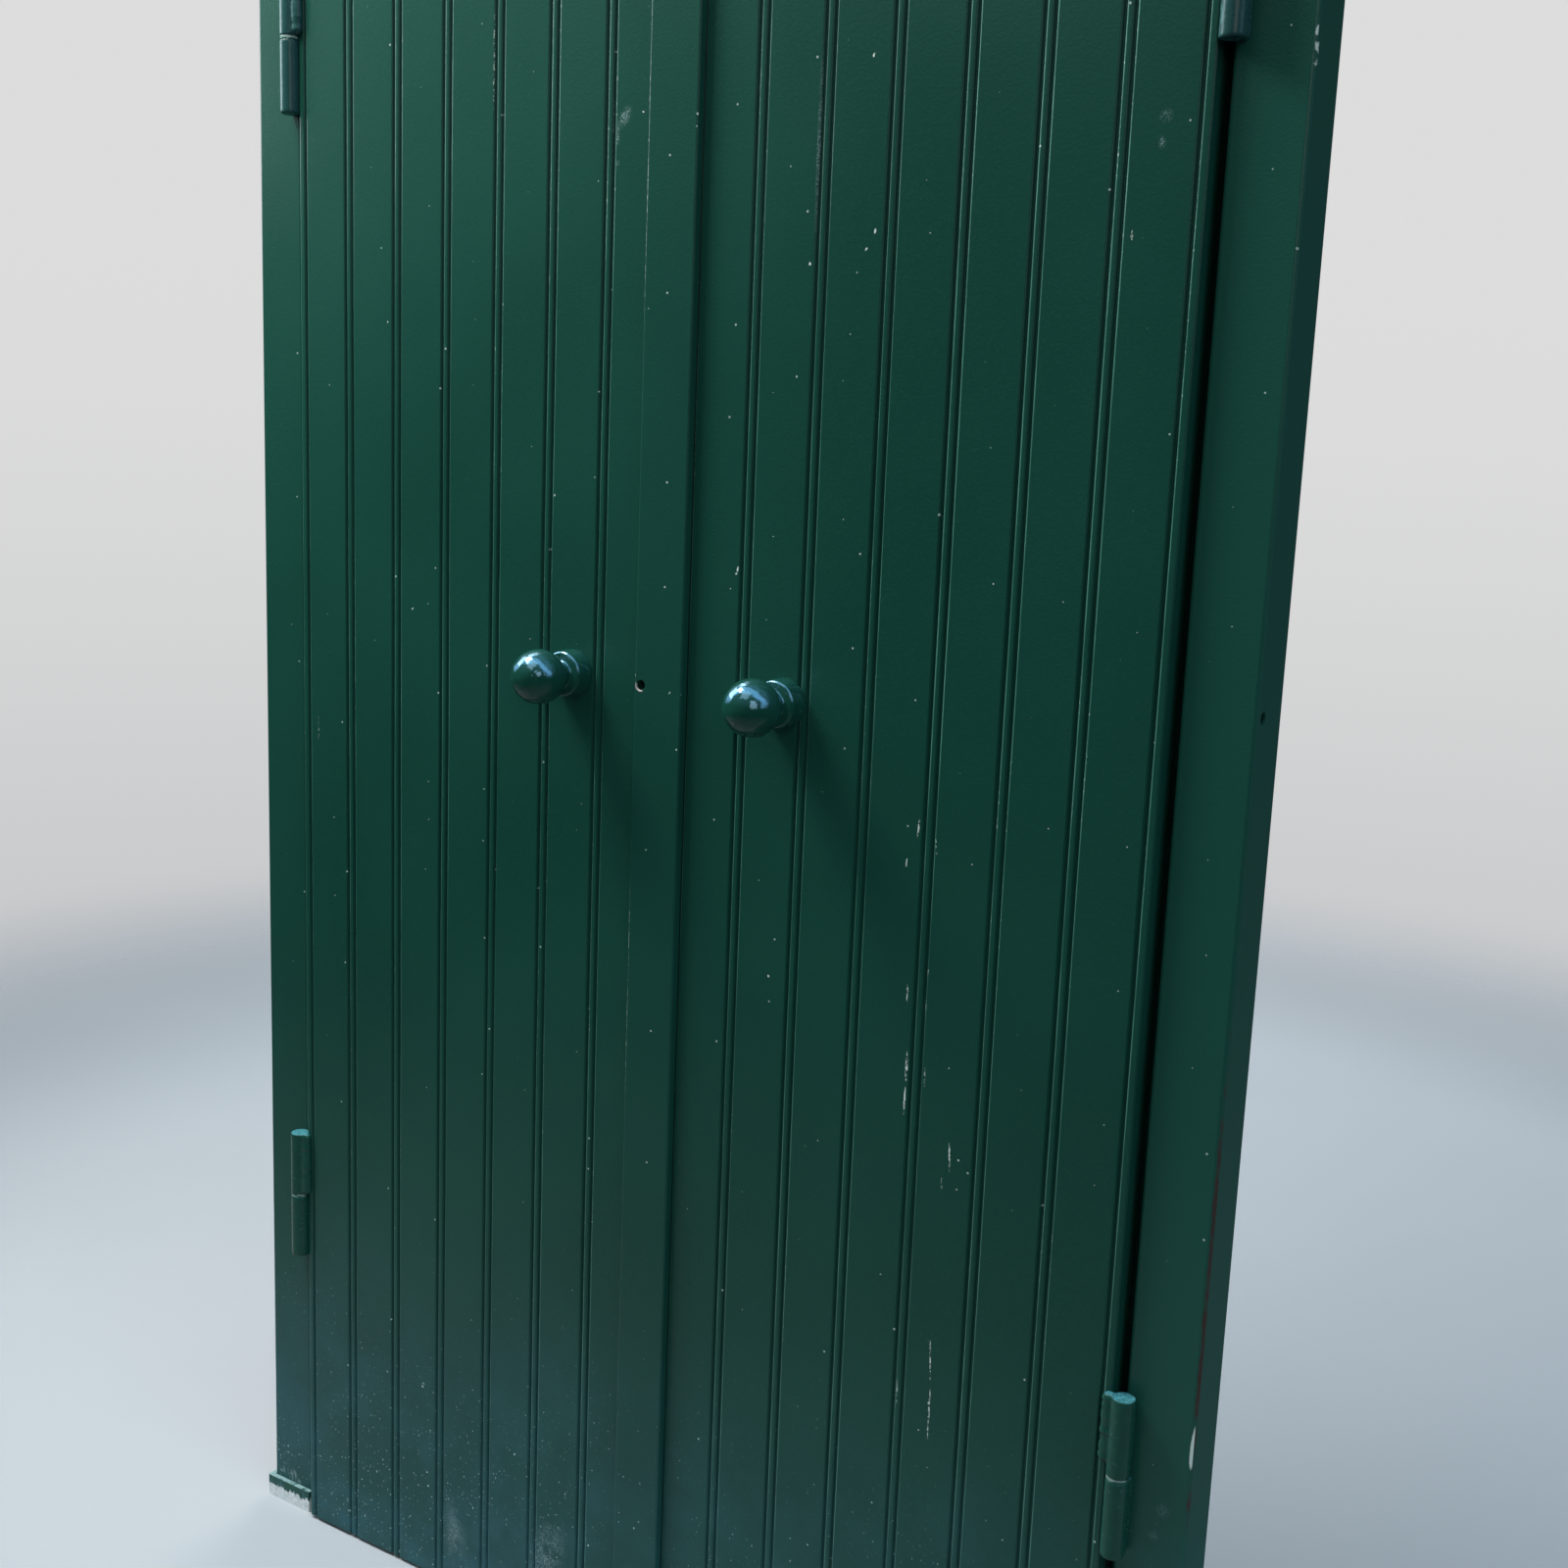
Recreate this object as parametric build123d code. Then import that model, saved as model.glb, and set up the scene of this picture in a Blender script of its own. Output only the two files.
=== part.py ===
from build123d import *
from math import atan, cos, pi, radians, sin, sqrt, tan
import os

# Pair of steel shutter leaves, hung in a welded tube frame and shut, in millimetres.
# X runs across the opening with its middle at 0, Y runs into the wall and Z is up.
# The origin is the middle of the sill bar's underside. The left leaf is the one at -X.

# Frame tubes
frame_face = 60.0          # tube as seen from the front
frame_depth = 60.0
frame_wall = 2.0
corner_walls = 2.0         # outer corner radius of every tube, in walls
foot_wall = 5.0            # plate of the shoe that a jamb stands in
foot_height = 25.0
stop_size = 25.0           # square tube that the leaves shut against
stop_wall = 2.0
anchor_hole_r = 5.25       # for a 10 mm frame anchor
anchor_margin = 250.0      # from the frame's ends to its outer anchors
anchor_count = 3

# Leaves
leaf_width = 462.0
leaf_height = 1970.0
leaf_proud = 10.0          # front of the leaves ahead of the frame's face
meeting_gap = 6.0
jamb_gap = 8.0
head_gap = 8.0
floor_gap = 4.0
stop_gap = 1.0
tube_face = 40.0
tube_depth = 30.0
tube_wall = 1.5

# Pressed sheet skin
sheet = 1.5
return_depth = 16.0        # edge folded back along the stiles
board_pitch = 63.6
groove_spacing = 8.6       # from one groove of a pair to the other
groove_width = 4.0
groove_floor = 1.2
groove_depth = 2.5
lip_r = 2.0                # bends of the sheet's front, at grooves and folds
floor_r = 0.8

# Cover strip on the left leaf, over the meeting gap
strip_width = 52.0
strip_thickness = 8.0
strip_overlap = 17.5       # over the right leaf
strip_edge_r = 2.0

# Weld-on barrel hinges
barrel_r = 10.0
barrel_half = 69.0
barrel_chamfer = 1.0
barrel_clearance = 0.5     # from the barrels to the leaf's edge and to the jamb's face
pin_r = 5.0
pin_running_clearance = 0.05
pin_seat_clearance = 0.02
pin_hold = 45.0            # length of the pin in each half
pin_end_room = 3.0
washer_thickness = 3.0
washer_inset = 0.4
washer_clearance = 0.2
weld_width = 7.0
weld_bulge = 1.2
weld_lean = 38.0           # degrees from the hinge's side to where the weld meets the barrel
lower_hinge_height_left = 387.5
lower_hinge_height_right = 391.0
upper_hinge_height_left = 1584.5
upper_hinge_height_right = 1573.0

# Pull knobs
knob_height_left = 996.5
knob_height_right = 992.5
knob_inset_left = 105.0    # from the leaf's closing edge
knob_inset_right = 120.5
ball_r = 25.0
ball_reach = 50.0          # ball's centre from the leaf's face
neck_r = 12.0
rose_foot_r = 22.0
rose_rim_r = 21.0
rose_height = 19.0
rose_edge_r = 3.0
knob_screw_r = 4.0
knob_screw_clearance = 0.2
knob_screw_hold = 14.0     # length in the knob
knob_screw_flats = 13.0
knob_screw_head = 5.5
knob_washer_r = 10.0
knob_washer_thickness = 1.6

# Lock on the left leaf's back, and its keeper on the right leaf
key_drop = 3.0             # key's axis below the left knob's
key_inset = 21.5           # from the leaf's closing edge
key_hole_r = 4.5
lock_width = 62.0
lock_height = 90.0
lock_depth = 18.0
lock_wall = 2.0
lock_ear = 16.0
bolt_height = 20.0
bolt_thickness = 10.0
bolt_length = 50.0
bolt_throw = 18.0
bolt_drop = 15.0           # bolt's middle below the key's axis
bolt_clearance = 0.3
bolt_shy = 0.5             # from the bolt's nose to the leaf's edge when it is drawn back
rib_height = 4.0
talon_width = 9.0
talon_depth = 5.0
keeper_length = 28.0
keeper_height = 36.0
keeper_play = 1.0

# Slide bolts on the right leaf's back
slide_plate_width = 36.0
slide_plate_height = 110.0
slide_plate_thickness = 3.0
slide_plate_margin = 20.0  # from the plate to the stop that its rod enters
slide_rod_r = 5.0
slide_rod_play = 0.3
slide_rod_shy = 2.0        # from the rod's tip to the stop when it is drawn back
slide_rod_offset = 8.5     # rod's axis from the plate
slide_rod_tail = 20.0
slide_throw = 18.0
slide_hole_play = 0.6
slide_edge = 6.0
guide_width = 18.0
guide_height = 12.0
guide_inset = 26.0         # low edge of the guide near the stop, from the plate's end
guide_cover = 3.0
peg_r = 4.0
peg_length = 18.0

# Pan-head screws of the fittings
screw_r = 2.5
screw_play = 0.1
screw_head_r = 4.5
screw_head = 3.0
screw_length = 9.0
screw_inset = 8.0

# Places that follow from the sizes
span = 2 * leaf_width + meeting_gap
edge = meeting_gap / 2
opening_half = span / 2 + jamb_gap
frame_half = opening_half + frame_face
leaf_top = floor_gap + leaf_height
opening_top = leaf_top + head_gap
frame_top = opening_top + frame_face
stop_front = -stop_size / 2
leaf_back = stop_front - stop_gap
tube_front = leaf_back - tube_depth
leaf_front = tube_front - groove_depth - sheet
frame_front = leaf_front + leaf_proud
frame_back = frame_front + frame_depth
hinge_x = span / 2 + barrel_clearance + barrel_r
hinge_y = frame_front - barrel_clearance - barrel_r
anchor_y = (frame_front + stop_front) / 2
anchor_step = (frame_top - 2 * anchor_margin) / (anchor_count - 1)
stile_x = edge + sheet + tube_face / 2
key_height = knob_height_left - key_drop
bolt_z = key_height - bolt_drop
lock_middle_y = leaf_back + lock_depth / 2
lock_seat = leaf_back + lock_wall
slide_y = leaf_back + slide_plate_thickness + slide_rod_offset
slide_seat = leaf_back + slide_plate_thickness
slide_top_low = opening_top - stop_size - slide_plate_margin - slide_plate_height
slide_bottom_low = stop_size + slide_plate_margin
knob_left_x = -edge - knob_inset_left
knob_right_x = edge + knob_inset_right

os.makedirs("parts", exist_ok=True)


def block(low, high):
    """A box between two corners."""
    size = [b - a for a, b in zip(low, high)]
    return Pos(*low) * Box(*size, align=(Align.MIN, Align.MIN, Align.MIN))


def rod_z(radius, low, high):
    """A round bar on the Z axis between two heights."""
    return Pos(0, 0, low) * Cylinder(radius, high - low, align=(Align.CENTER, Align.CENTER, Align.MIN))


def rod_y(radius, front, back):
    """A round bar on the Y axis between two depths."""
    return Pos(0, front, 0) * Rot(-90, 0, 0) * rod_z(radius, 0, back - front)


def mirrored(shape):
    """The same shape on the other side of the opening's middle."""
    return mirror(shape, about=Plane.YZ)


def tube_section(face, depth, wall):
    """Cross-section of a box tube with round corners, centred."""
    corner = corner_walls * wall
    inner = RectangleRounded(face - 2 * wall, depth - 2 * wall, corner - wall)
    return RectangleRounded(face, depth, corner) - inner


def tube_member(length, face, depth, wall, cut_low, cut_high):
    """A box tube up the Z axis, with its outer side at X 0. A cut end is mitred."""
    tube = extrude(Pos(face / 2, depth / 2, 0) * tube_section(face, depth, wall), amount=length)
    outline = make_face(Polyline(
        (0, 0),
        (face, face if cut_low else 0),
        (face, length - (face if cut_high else 0)),
        (0, length),
        close=True,
    ))
    return tube & extrude(Plane.XZ * outline, amount=-depth)


def jamb_left():
    tube = tube_member(frame_top - foot_wall, frame_face, frame_depth, frame_wall, False, True)
    tube = Pos(-frame_half, frame_front, foot_wall) * tube
    for number in range(anchor_count):
        height = anchor_margin + number * anchor_step
        drill = Rot(0, 90, 0) * rod_z(anchor_hole_r, -frame_half - 1, -opening_half + 1)
        tube -= Pos(0, anchor_y, height) * drill
    return tube


def head_rail():
    tube = tube_member(2 * frame_half, frame_face, frame_depth, frame_wall, True, True)
    return Pos(-frame_half, frame_front, frame_top) * Rot(0, 90, 0) * tube


def foot_left():
    """A shoe with a floor, open towards the opening, that a jamb stands in."""
    shoe = block(
        (-frame_half - foot_wall, frame_front - foot_wall, 0),
        (-opening_half, frame_back + foot_wall, foot_height),
    )
    return shoe - block((-frame_half, frame_front, foot_wall), (-opening_half, frame_back, foot_height))


def stop_tube(length):
    """A square tube up the Z axis, centred on it in X and Y."""
    return extrude(tube_section(stop_size, stop_size, stop_wall), amount=length)


def sill_bar():
    tube = Rot(0, 90, 0) * stop_tube(2 * opening_half)
    tube = Pos(-opening_half, 0, stop_size / 2) * tube
    hole = rod_z(slide_rod_r + slide_hole_play, stop_wall, stop_size + 1)
    return tube - Pos(stile_x, slide_y, 0) * hole


def stop_head():
    tube = Rot(0, 90, 0) * stop_tube(2 * opening_half)
    tube = Pos(-opening_half, 0, opening_top - stop_size / 2) * tube
    hole = rod_z(slide_rod_r + slide_hole_play, opening_top - stop_size - 1, opening_top - stop_wall)
    return tube - Pos(stile_x, slide_y, 0) * hole


def stop_left():
    length = opening_top - 2 * stop_size
    return Pos(-opening_half + stop_size / 2, 0, stop_size) * stop_tube(length)


def groove_line(depth, half_top, half_floor, floor, centres):
    """Corners along one side of the pressed sheet, over its grooves from left to right."""
    points = []
    for centre in centres:
        points.append((centre - half_top, depth))
        points.append((centre - half_floor, floor))
        points.append((centre + half_floor, floor))
        points.append((centre + half_top, depth))
    return points


def leaf_skin():
    """Sheet with a pair of pressed grooves at each board joint, folded back at both edges."""
    centres = [groove_spacing]
    joint = board_pitch
    while joint + groove_spacing + groove_width < leaf_width:
        centres.append(joint)
        centres.append(joint + groove_spacing)
        joint += board_pitch
    slope = atan((groove_width - groove_floor) / 2 / groove_depth)
    shift = sheet * tan((pi / 2 - slope) / 2)
    front = groove_line(0, groove_width / 2, groove_floor / 2, groove_depth, centres)
    back = groove_line(
        sheet, groove_width / 2 + shift, groove_floor / 2 + shift, groove_depth + sheet, centres,
    )
    outline = [(0, return_depth), (0, 0)] + front + [(leaf_width, 0), (leaf_width, return_depth)]
    inside = [(leaf_width - sheet, return_depth), (leaf_width - sheet, sheet)]
    inside += back[::-1] + [(sheet, sheet), (sheet, return_depth)]
    profile = make_face(Polyline(*outline, *inside, close=True))
    bends = {
        0: lip_r,
        sheet: lip_r - sheet,
        groove_depth: floor_r,
        groove_depth + sheet: floor_r + sheet,
    }
    for depth, radius in bends.items():
        corners = [v for v in profile.vertices() if abs(v.Y - depth) < sheet / 10]
        profile = fillet(corners, radius)
    return Pos(-span / 2, leaf_front, floor_gap) * extrude(profile, amount=leaf_height)


def leaf_stile():
    tube = tube_member(leaf_height, tube_face, tube_depth, tube_wall, True, True)
    return Pos(-span / 2 + sheet, tube_front, floor_gap) * tube


def closing_stile_left():
    tube = tube_member(leaf_height, tube_face, tube_depth, tube_wall, True, True)
    return Pos(-edge - sheet, tube_front, floor_gap) * mirrored(tube)


def leaf_end_rail(at_top):
    length = leaf_width - 2 * sheet
    tube = tube_member(length, tube_face, tube_depth, tube_wall, True, True)
    if at_top:
        return Pos(-span / 2 + sheet, tube_front, leaf_top) * Rot(0, 90, 0) * tube
    return Pos(-edge - sheet, tube_front, floor_gap) * Rot(0, -90, 0) * tube


def leaf_middle_rail(knob_x, knob_z):
    length = leaf_width - 2 * sheet - 2 * tube_face
    tube = tube_member(length, tube_face, tube_depth, tube_wall, False, False)
    start = -span / 2 + sheet + tube_face
    tube = Pos(start, tube_front, knob_z + tube_face / 2) * Rot(0, 90, 0) * tube
    return tube - knob_drill(knob_x, knob_z)


def knob_drill(knob_x, knob_z):
    hole = rod_y(knob_screw_r + knob_screw_clearance, leaf_front - 1, leaf_back + 1)
    return Pos(knob_x, 0, knob_z) * hole


def key_drill():
    hole = rod_y(key_hole_r, leaf_front - strip_thickness - 1, leaf_back + lock_wall + 1)
    return Pos(-edge - key_inset, 0, key_height) * hole


def cover_strip():
    right = edge + strip_overlap
    low = (right - strip_width, leaf_front - strip_thickness, floor_gap)
    bar = block(low, (right, leaf_front, leaf_top))
    front_edges = bar.edges().filter_by(Axis.Z).group_by(Axis.Y)[0]
    return fillet(front_edges, strip_edge_r) - key_drill()


def knob(knob_x, knob_z):
    """Turned ball on a short neck and a stout round rose, with a blind bore for its screw."""
    neck_end = ball_reach - sqrt(ball_r ** 2 - neck_r ** 2)
    rim = rose_height - rose_edge_r
    outline = [
        Line((0, 0), (rose_foot_r, 0)),
        Line((rose_foot_r, 0), (rose_rim_r, -rim)),
        ThreePointArc(
            (rose_rim_r, -rim),
            (rose_rim_r - rose_edge_r * (1 - sqrt(0.5)), -rim - rose_edge_r * sqrt(0.5)),
            (rose_rim_r - rose_edge_r, -rose_height),
        ),
        Line((rose_rim_r - rose_edge_r, -rose_height), (neck_r, -rose_height)),
        Line((neck_r, -rose_height), (neck_r, -neck_end)),
        ThreePointArc((neck_r, -neck_end), (ball_r, -ball_reach), (0, -ball_reach - ball_r)),
        Line((0, -ball_reach - ball_r), (0, 0)),
    ]
    turned = revolve(make_face(Curve() + outline), Axis.Y)
    bore = rod_y(knob_screw_r + knob_screw_clearance, -knob_screw_hold - 1, 1)
    return Pos(knob_x, leaf_front, knob_z) * (turned - bore)


def knob_screw(knob_x, knob_z):
    """Hexagon screw and washer from the leaf's back through the middle rail."""
    washer_back = leaf_back + knob_washer_thickness
    shank = rod_y(knob_screw_r, leaf_front - knob_screw_hold, washer_back)
    washer = rod_y(knob_washer_r, leaf_back, washer_back)
    hexagon = RegularPolygon(knob_screw_flats / 2, 6, major_radius=False)
    head = Pos(0, washer_back, 0) * Rot(-90, 0, 0) * extrude(hexagon, amount=knob_screw_head)
    return Pos(knob_x, 0, knob_z) * (shank + washer + head)


def pin_bore(clearance, low, high):
    return rod_z(pin_r + clearance, low, high)


def barrel(low, high):
    """One half of a hinge, chamfered at both ends."""
    return chamfer(rod_z(barrel_r, low, high).edges().filter_by(GeomType.CIRCLE), barrel_chamfer)


def bead(outline, low, high):
    """A weld of one section between two heights."""
    return Pos(0, 0, low) * extrude(make_face(Curve() + outline), amount=high - low)


def leaf_barrel(joint):
    """Upper half of a left hinge, with the weld that joins it to the leaf's face."""
    low = joint + washer_thickness / 2
    high = low + barrel_half
    leaf_edge = barrel_r + barrel_clearance
    face = leaf_front - hinge_y
    toe = (leaf_edge + weld_width, face)
    lean = radians(weld_lean)
    crest = (barrel_r * cos(lean), -barrel_r * sin(lean))
    middle = ((toe[0] + crest[0]) / 2 + weld_bulge / 2, (toe[1] + crest[1]) / 2 - weld_bulge)
    outline = [
        ThreePointArc(toe, middle, crest),
        Line(crest, (0, 0)),
        Line((0, 0), (0, face)),
        Line((0, face), toe),
    ]
    solid = barrel(low, high) + bead(outline, low + barrel_chamfer, high - barrel_chamfer)
    solid -= pin_bore(pin_running_clearance, low - 1, joint + pin_hold + pin_end_room)
    return Pos(-hinge_x, hinge_y, 0) * solid


def frame_barrel(joint):
    """Lower half of a left hinge, with the weld that joins it to the jamb's face."""
    high = joint - washer_thickness / 2
    low = high - barrel_half
    face = frame_front - hinge_y
    jamb_edge = hinge_x - opening_half - corner_walls * frame_wall
    lean = radians(weld_lean)
    crest = (-barrel_r * cos(lean), barrel_r * sin(lean))
    toe = (-barrel_r, face)
    middle = ((toe[0] + crest[0]) / 2 - weld_bulge / 4, (toe[1] + crest[1]) / 2)
    outline = [
        ThreePointArc(toe, middle, crest),
        Line(crest, (0, 0)),
        Line((0, 0), (jamb_edge, face)),
        Line((jamb_edge, face), toe),
    ]
    solid = barrel(low, high) + bead(outline, low + barrel_chamfer, high - barrel_chamfer)
    solid -= pin_bore(pin_seat_clearance, joint - pin_hold, high + 1)
    return Pos(-hinge_x, hinge_y, 0) * solid


def hinge_pin(joint):
    pin = rod_z(pin_r, joint - pin_hold, joint + pin_hold)
    return Pos(-hinge_x, hinge_y, 0) * pin


def hinge_washer(joint):
    low = joint - washer_thickness / 2
    high = joint + washer_thickness / 2
    ring = rod_z(barrel_r - washer_inset, low, high) - rod_z(pin_r + washer_clearance, low - 1, high + 1)
    return Pos(-hinge_x, hinge_y, 0) * ring


def screws(places, seat):
    """Pan-head screws at (x, z) places, with their heads on a face at depth seat."""
    solids = []
    for x, z in places:
        shank = rod_y(screw_r, seat - screw_length, seat)
        head = rod_y(screw_head_r, seat, seat + screw_head)
        head = chamfer(head.edges().group_by(Axis.Y)[-1], screw_head / 3)
        solids.append(Pos(x, 0, z) * (shank + head))
    return Compound(children=solids)


def screw_drill(places, seat):
    """Holes for the same screws."""
    holes = rod_y(screw_r + screw_play, seat - screw_length - 1, seat + 1)
    return [Pos(x, 0, z) * holes for x, z in places]


def lock_screw_places():
    rise = lock_height / 2 + lock_ear / 2
    return [
        (-stile_x + side * (tube_face / 2 - screw_inset), key_height + end * rise)
        for side in (-1, 1) for end in (-1, 1)
    ]


def keeper_screw_places():
    rise = keeper_height / 2 + lock_ear / 2
    return [(stile_x, bolt_z + end * rise) for end in (-1, 1)]


def slide_screw_places(plate_low):
    near = plate_low + slide_edge
    far = plate_low + slide_plate_height - slide_edge
    side = slide_plate_width / 2 - slide_edge
    return [(stile_x + way * side, height) for way in (-1, 1) for height in (near, far)]


def lock_case():
    """Case of the rim lock, open at the back, with ears, a bolt slot and two guide ribs."""
    left = -edge - lock_width
    low = key_height - lock_height / 2
    back = leaf_back + lock_depth
    case = block((left, leaf_back, low), (-edge, back, low + lock_height))
    case -= block(
        (left + lock_wall, leaf_back + lock_wall, low + lock_wall),
        (-edge - lock_wall, back, low + lock_height - lock_wall),
    )
    ears = block(
        (-stile_x - tube_face / 2, leaf_back, low - lock_ear),
        (-stile_x + tube_face / 2, leaf_back + lock_wall, low + lock_height + lock_ear),
    )
    slot_half = bolt_height / 2 + bolt_clearance
    thick_half = bolt_thickness / 2 + bolt_clearance
    slot = block(
        (-edge - lock_wall - 1, lock_middle_y - thick_half, bolt_z - slot_half),
        (-edge + 1, lock_middle_y + thick_half, bolt_z + slot_half),
    )
    solid = case + ears - slot
    for way in (-1, 1):
        near = bolt_z + way * slot_half
        far = near + way * rib_height
        solid += block(
            (left + lock_wall, leaf_back + lock_wall, min(near, far)),
            (-edge - key_inset - key_hole_r - rib_height, back - lock_wall, max(near, far)),
        )
    solid -= key_drill()
    for hole in screw_drill(lock_screw_places(), lock_seat):
        solid -= hole
    return solid


def lock_cover():
    """Plate let into the case's open back."""
    left = -edge - lock_width + lock_wall
    low = key_height - lock_height / 2 + lock_wall
    back = leaf_back + lock_depth
    return block(
        (left, back - lock_wall, low),
        (-edge - lock_wall, back, low + lock_height - 2 * lock_wall),
    )


def lock_bolt():
    """Dead bolt, drawn back, with the talon that the key turns against."""
    nose = -edge - bolt_shy
    bar = block(
        (nose - bolt_length, lock_middle_y - bolt_thickness / 2, bolt_z - bolt_height / 2),
        (nose, lock_middle_y + bolt_thickness / 2, bolt_z + bolt_height / 2),
    )
    key_x = -edge - key_inset
    top = bolt_z + bolt_height / 2
    talon = block(
        (key_x - talon_width / 2, lock_middle_y - bolt_thickness, top - talon_depth),
        (key_x + talon_width / 2, lock_middle_y + bolt_thickness, top + 1),
    )
    return bar - talon


def keeper():
    """Box keeper with ears, open towards the lock."""
    play = keeper_play
    low = bolt_z - keeper_height / 2
    box = block((edge, leaf_back, low), (edge + keeper_length, leaf_back + lock_depth, low + keeper_height))
    reach = bolt_throw - bolt_shy + play
    box -= block(
        (edge - 1, lock_middle_y - bolt_thickness / 2 - play, bolt_z - bolt_height / 2 - play),
        (edge + reach, lock_middle_y + bolt_thickness / 2 + play, bolt_z + bolt_height / 2 + play),
    )
    ears = block(
        (stile_x - tube_face / 4, leaf_back, low - lock_ear),
        (stile_x + tube_face / 4, leaf_back + lock_wall, low + keeper_height + lock_ear),
    )
    solid = box + (ears - block(
        (stile_x - tube_face, leaf_back - 1, low),
        (stile_x + tube_face, leaf_back + lock_wall + 1, low + keeper_height),
    ))
    for hole in screw_drill(keeper_screw_places(), lock_seat):
        solid -= hole
    return solid


def guide_height_at(end):
    """Low edge of a guide on a plate that starts at 0; end 1 is the one near the stop."""
    near_stop = slide_plate_height - guide_inset
    if end:
        return near_stop
    return near_stop - slide_throw - 2 * (peg_r + slide_rod_play) - guide_height


def slide_plate():
    """Plate with two guides for a rod, from height 0, with the stop above it."""
    plate = block(
        (-slide_plate_width / 2, leaf_back, 0),
        (slide_plate_width / 2, leaf_back + slide_plate_thickness, slide_plate_height),
    )
    seat = leaf_back + slide_plate_thickness
    for end in (0, 1):
        low = guide_height_at(end)
        plate += block(
            (-guide_width / 2, seat, low),
            (guide_width / 2, slide_y + slide_rod_r + guide_cover, low + guide_height),
        )
    return plate - Pos(0, slide_y, 0) * rod_z(slide_rod_r + slide_rod_play, -1, slide_plate_height + 1)


def slide_rod():
    """Round rod with a peg to move it by, for the same plate."""
    tip = slide_plate_height + slide_plate_margin - slide_rod_shy
    rod = rod_z(slide_rod_r, guide_height_at(0) - slide_rod_tail, tip)
    peg_z = guide_height_at(0) + guide_height + peg_r + slide_rod_play
    peg = Pos(0, 0, peg_z) * rod_y(peg_r, 0, peg_length)
    return Pos(0, slide_y, 0) * (rod + peg)


def slide_top(shape):
    return Pos(stile_x, 0, slide_top_low) * shape


def slide_bottom(shape):
    return Pos(stile_x, 0, slide_bottom_low + slide_plate_height) * mirror(shape, about=Plane.XY)


def slide_plate_drilled(plate, plate_low):
    for hole in screw_drill(slide_screw_places(plate_low), slide_seat):
        plate -= hole
    return plate


def slide_places():
    return slide_screw_places(slide_top_low) + slide_screw_places(slide_bottom_low)


def closing_stile_right():
    """Stile that carries the keeper and both slide bolts."""
    stile = mirrored(closing_stile_left())
    for hole in screw_drill(keeper_screw_places(), lock_seat) + screw_drill(slide_places(), slide_seat):
        stile -= hole
    return stile


def lock_stile():
    """Left leaf's closing stile, with the key's way through it."""
    stile = closing_stile_left() - key_drill()
    for hole in screw_drill(lock_screw_places(), lock_seat):
        stile -= hole
    return stile


def hinge_nodes(name, joint, on_right):
    """The four pieces of one hinge."""
    pieces = {
        f"{name}_frame_barrel": frame_barrel(joint),
        f"{name}_leaf_barrel": leaf_barrel(joint),
        f"{name}_pin": hinge_pin(joint),
        f"{name}_washer": hinge_washer(joint),
    }
    if on_right:
        return {node: mirrored(shape) for node, shape in pieces.items()}
    return pieces


nodes = {
    "jamb_left": jamb_left(),
    "jamb_right": mirrored(jamb_left()),
    "head_rail": head_rail(),
    "foot_left": foot_left(),
    "foot_right": mirrored(foot_left()),
    "sill_bar": sill_bar(),
    "stop_head": stop_head(),
    "stop_left": stop_left(),
    "stop_right": mirrored(stop_left()),
    "leaf_left_skin": leaf_skin() - knob_drill(knob_left_x, knob_height_left) - key_drill(),
    "leaf_left_hinge_stile": leaf_stile(),
    "leaf_left_closing_stile": lock_stile(),
    "leaf_left_top_rail": leaf_end_rail(True),
    "leaf_left_middle_rail": leaf_middle_rail(knob_left_x, knob_height_left),
    "leaf_left_bottom_rail": leaf_end_rail(False),
    "cover_strip": cover_strip(),
    "knob_left": knob(knob_left_x, knob_height_left),
    "knob_left_screw": knob_screw(knob_left_x, knob_height_left),
    "lock_case": lock_case(),
    "lock_cover": lock_cover(),
    "lock_bolt": lock_bolt(),
    "lock_screws": screws(lock_screw_places(), lock_seat),
    "leaf_right_skin": mirrored(leaf_skin()) - knob_drill(knob_right_x, knob_height_right),
    "leaf_right_hinge_stile": mirrored(leaf_stile()),
    "leaf_right_closing_stile": closing_stile_right(),
    "leaf_right_top_rail": mirrored(leaf_end_rail(True)),
    "leaf_right_middle_rail": mirrored(leaf_middle_rail(-knob_right_x, knob_height_right)),
    "leaf_right_bottom_rail": mirrored(leaf_end_rail(False)),
    "knob_right": knob(knob_right_x, knob_height_right),
    "knob_right_screw": knob_screw(knob_right_x, knob_height_right),
    "keeper": keeper(),
    "keeper_screws": screws(keeper_screw_places(), lock_seat),
    "slide_bolt_top_plate": slide_plate_drilled(slide_top(slide_plate()), slide_top_low),
    "slide_bolt_top_rod": slide_top(slide_rod()),
    "slide_bolt_bottom_plate": slide_plate_drilled(slide_bottom(slide_plate()), slide_bottom_low),
    "slide_bolt_bottom_rod": slide_bottom(slide_rod()),
    "slide_bolt_screws": screws(slide_places(), slide_seat),
}
nodes |= hinge_nodes("hinge_lower_left", lower_hinge_height_left, False)
nodes |= hinge_nodes("hinge_upper_left", upper_hinge_height_left, False)
nodes |= hinge_nodes("hinge_lower_right", lower_hinge_height_right, True)
nodes |= hinge_nodes("hinge_upper_right", upper_hinge_height_right, True)

for node, shape in nodes.items():
    export_step(shape, f"parts/{node}.step")
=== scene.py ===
import math
from contextlib import contextmanager

import bmesh
import bpy
from mathutils import Matrix, Vector, noise


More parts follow.
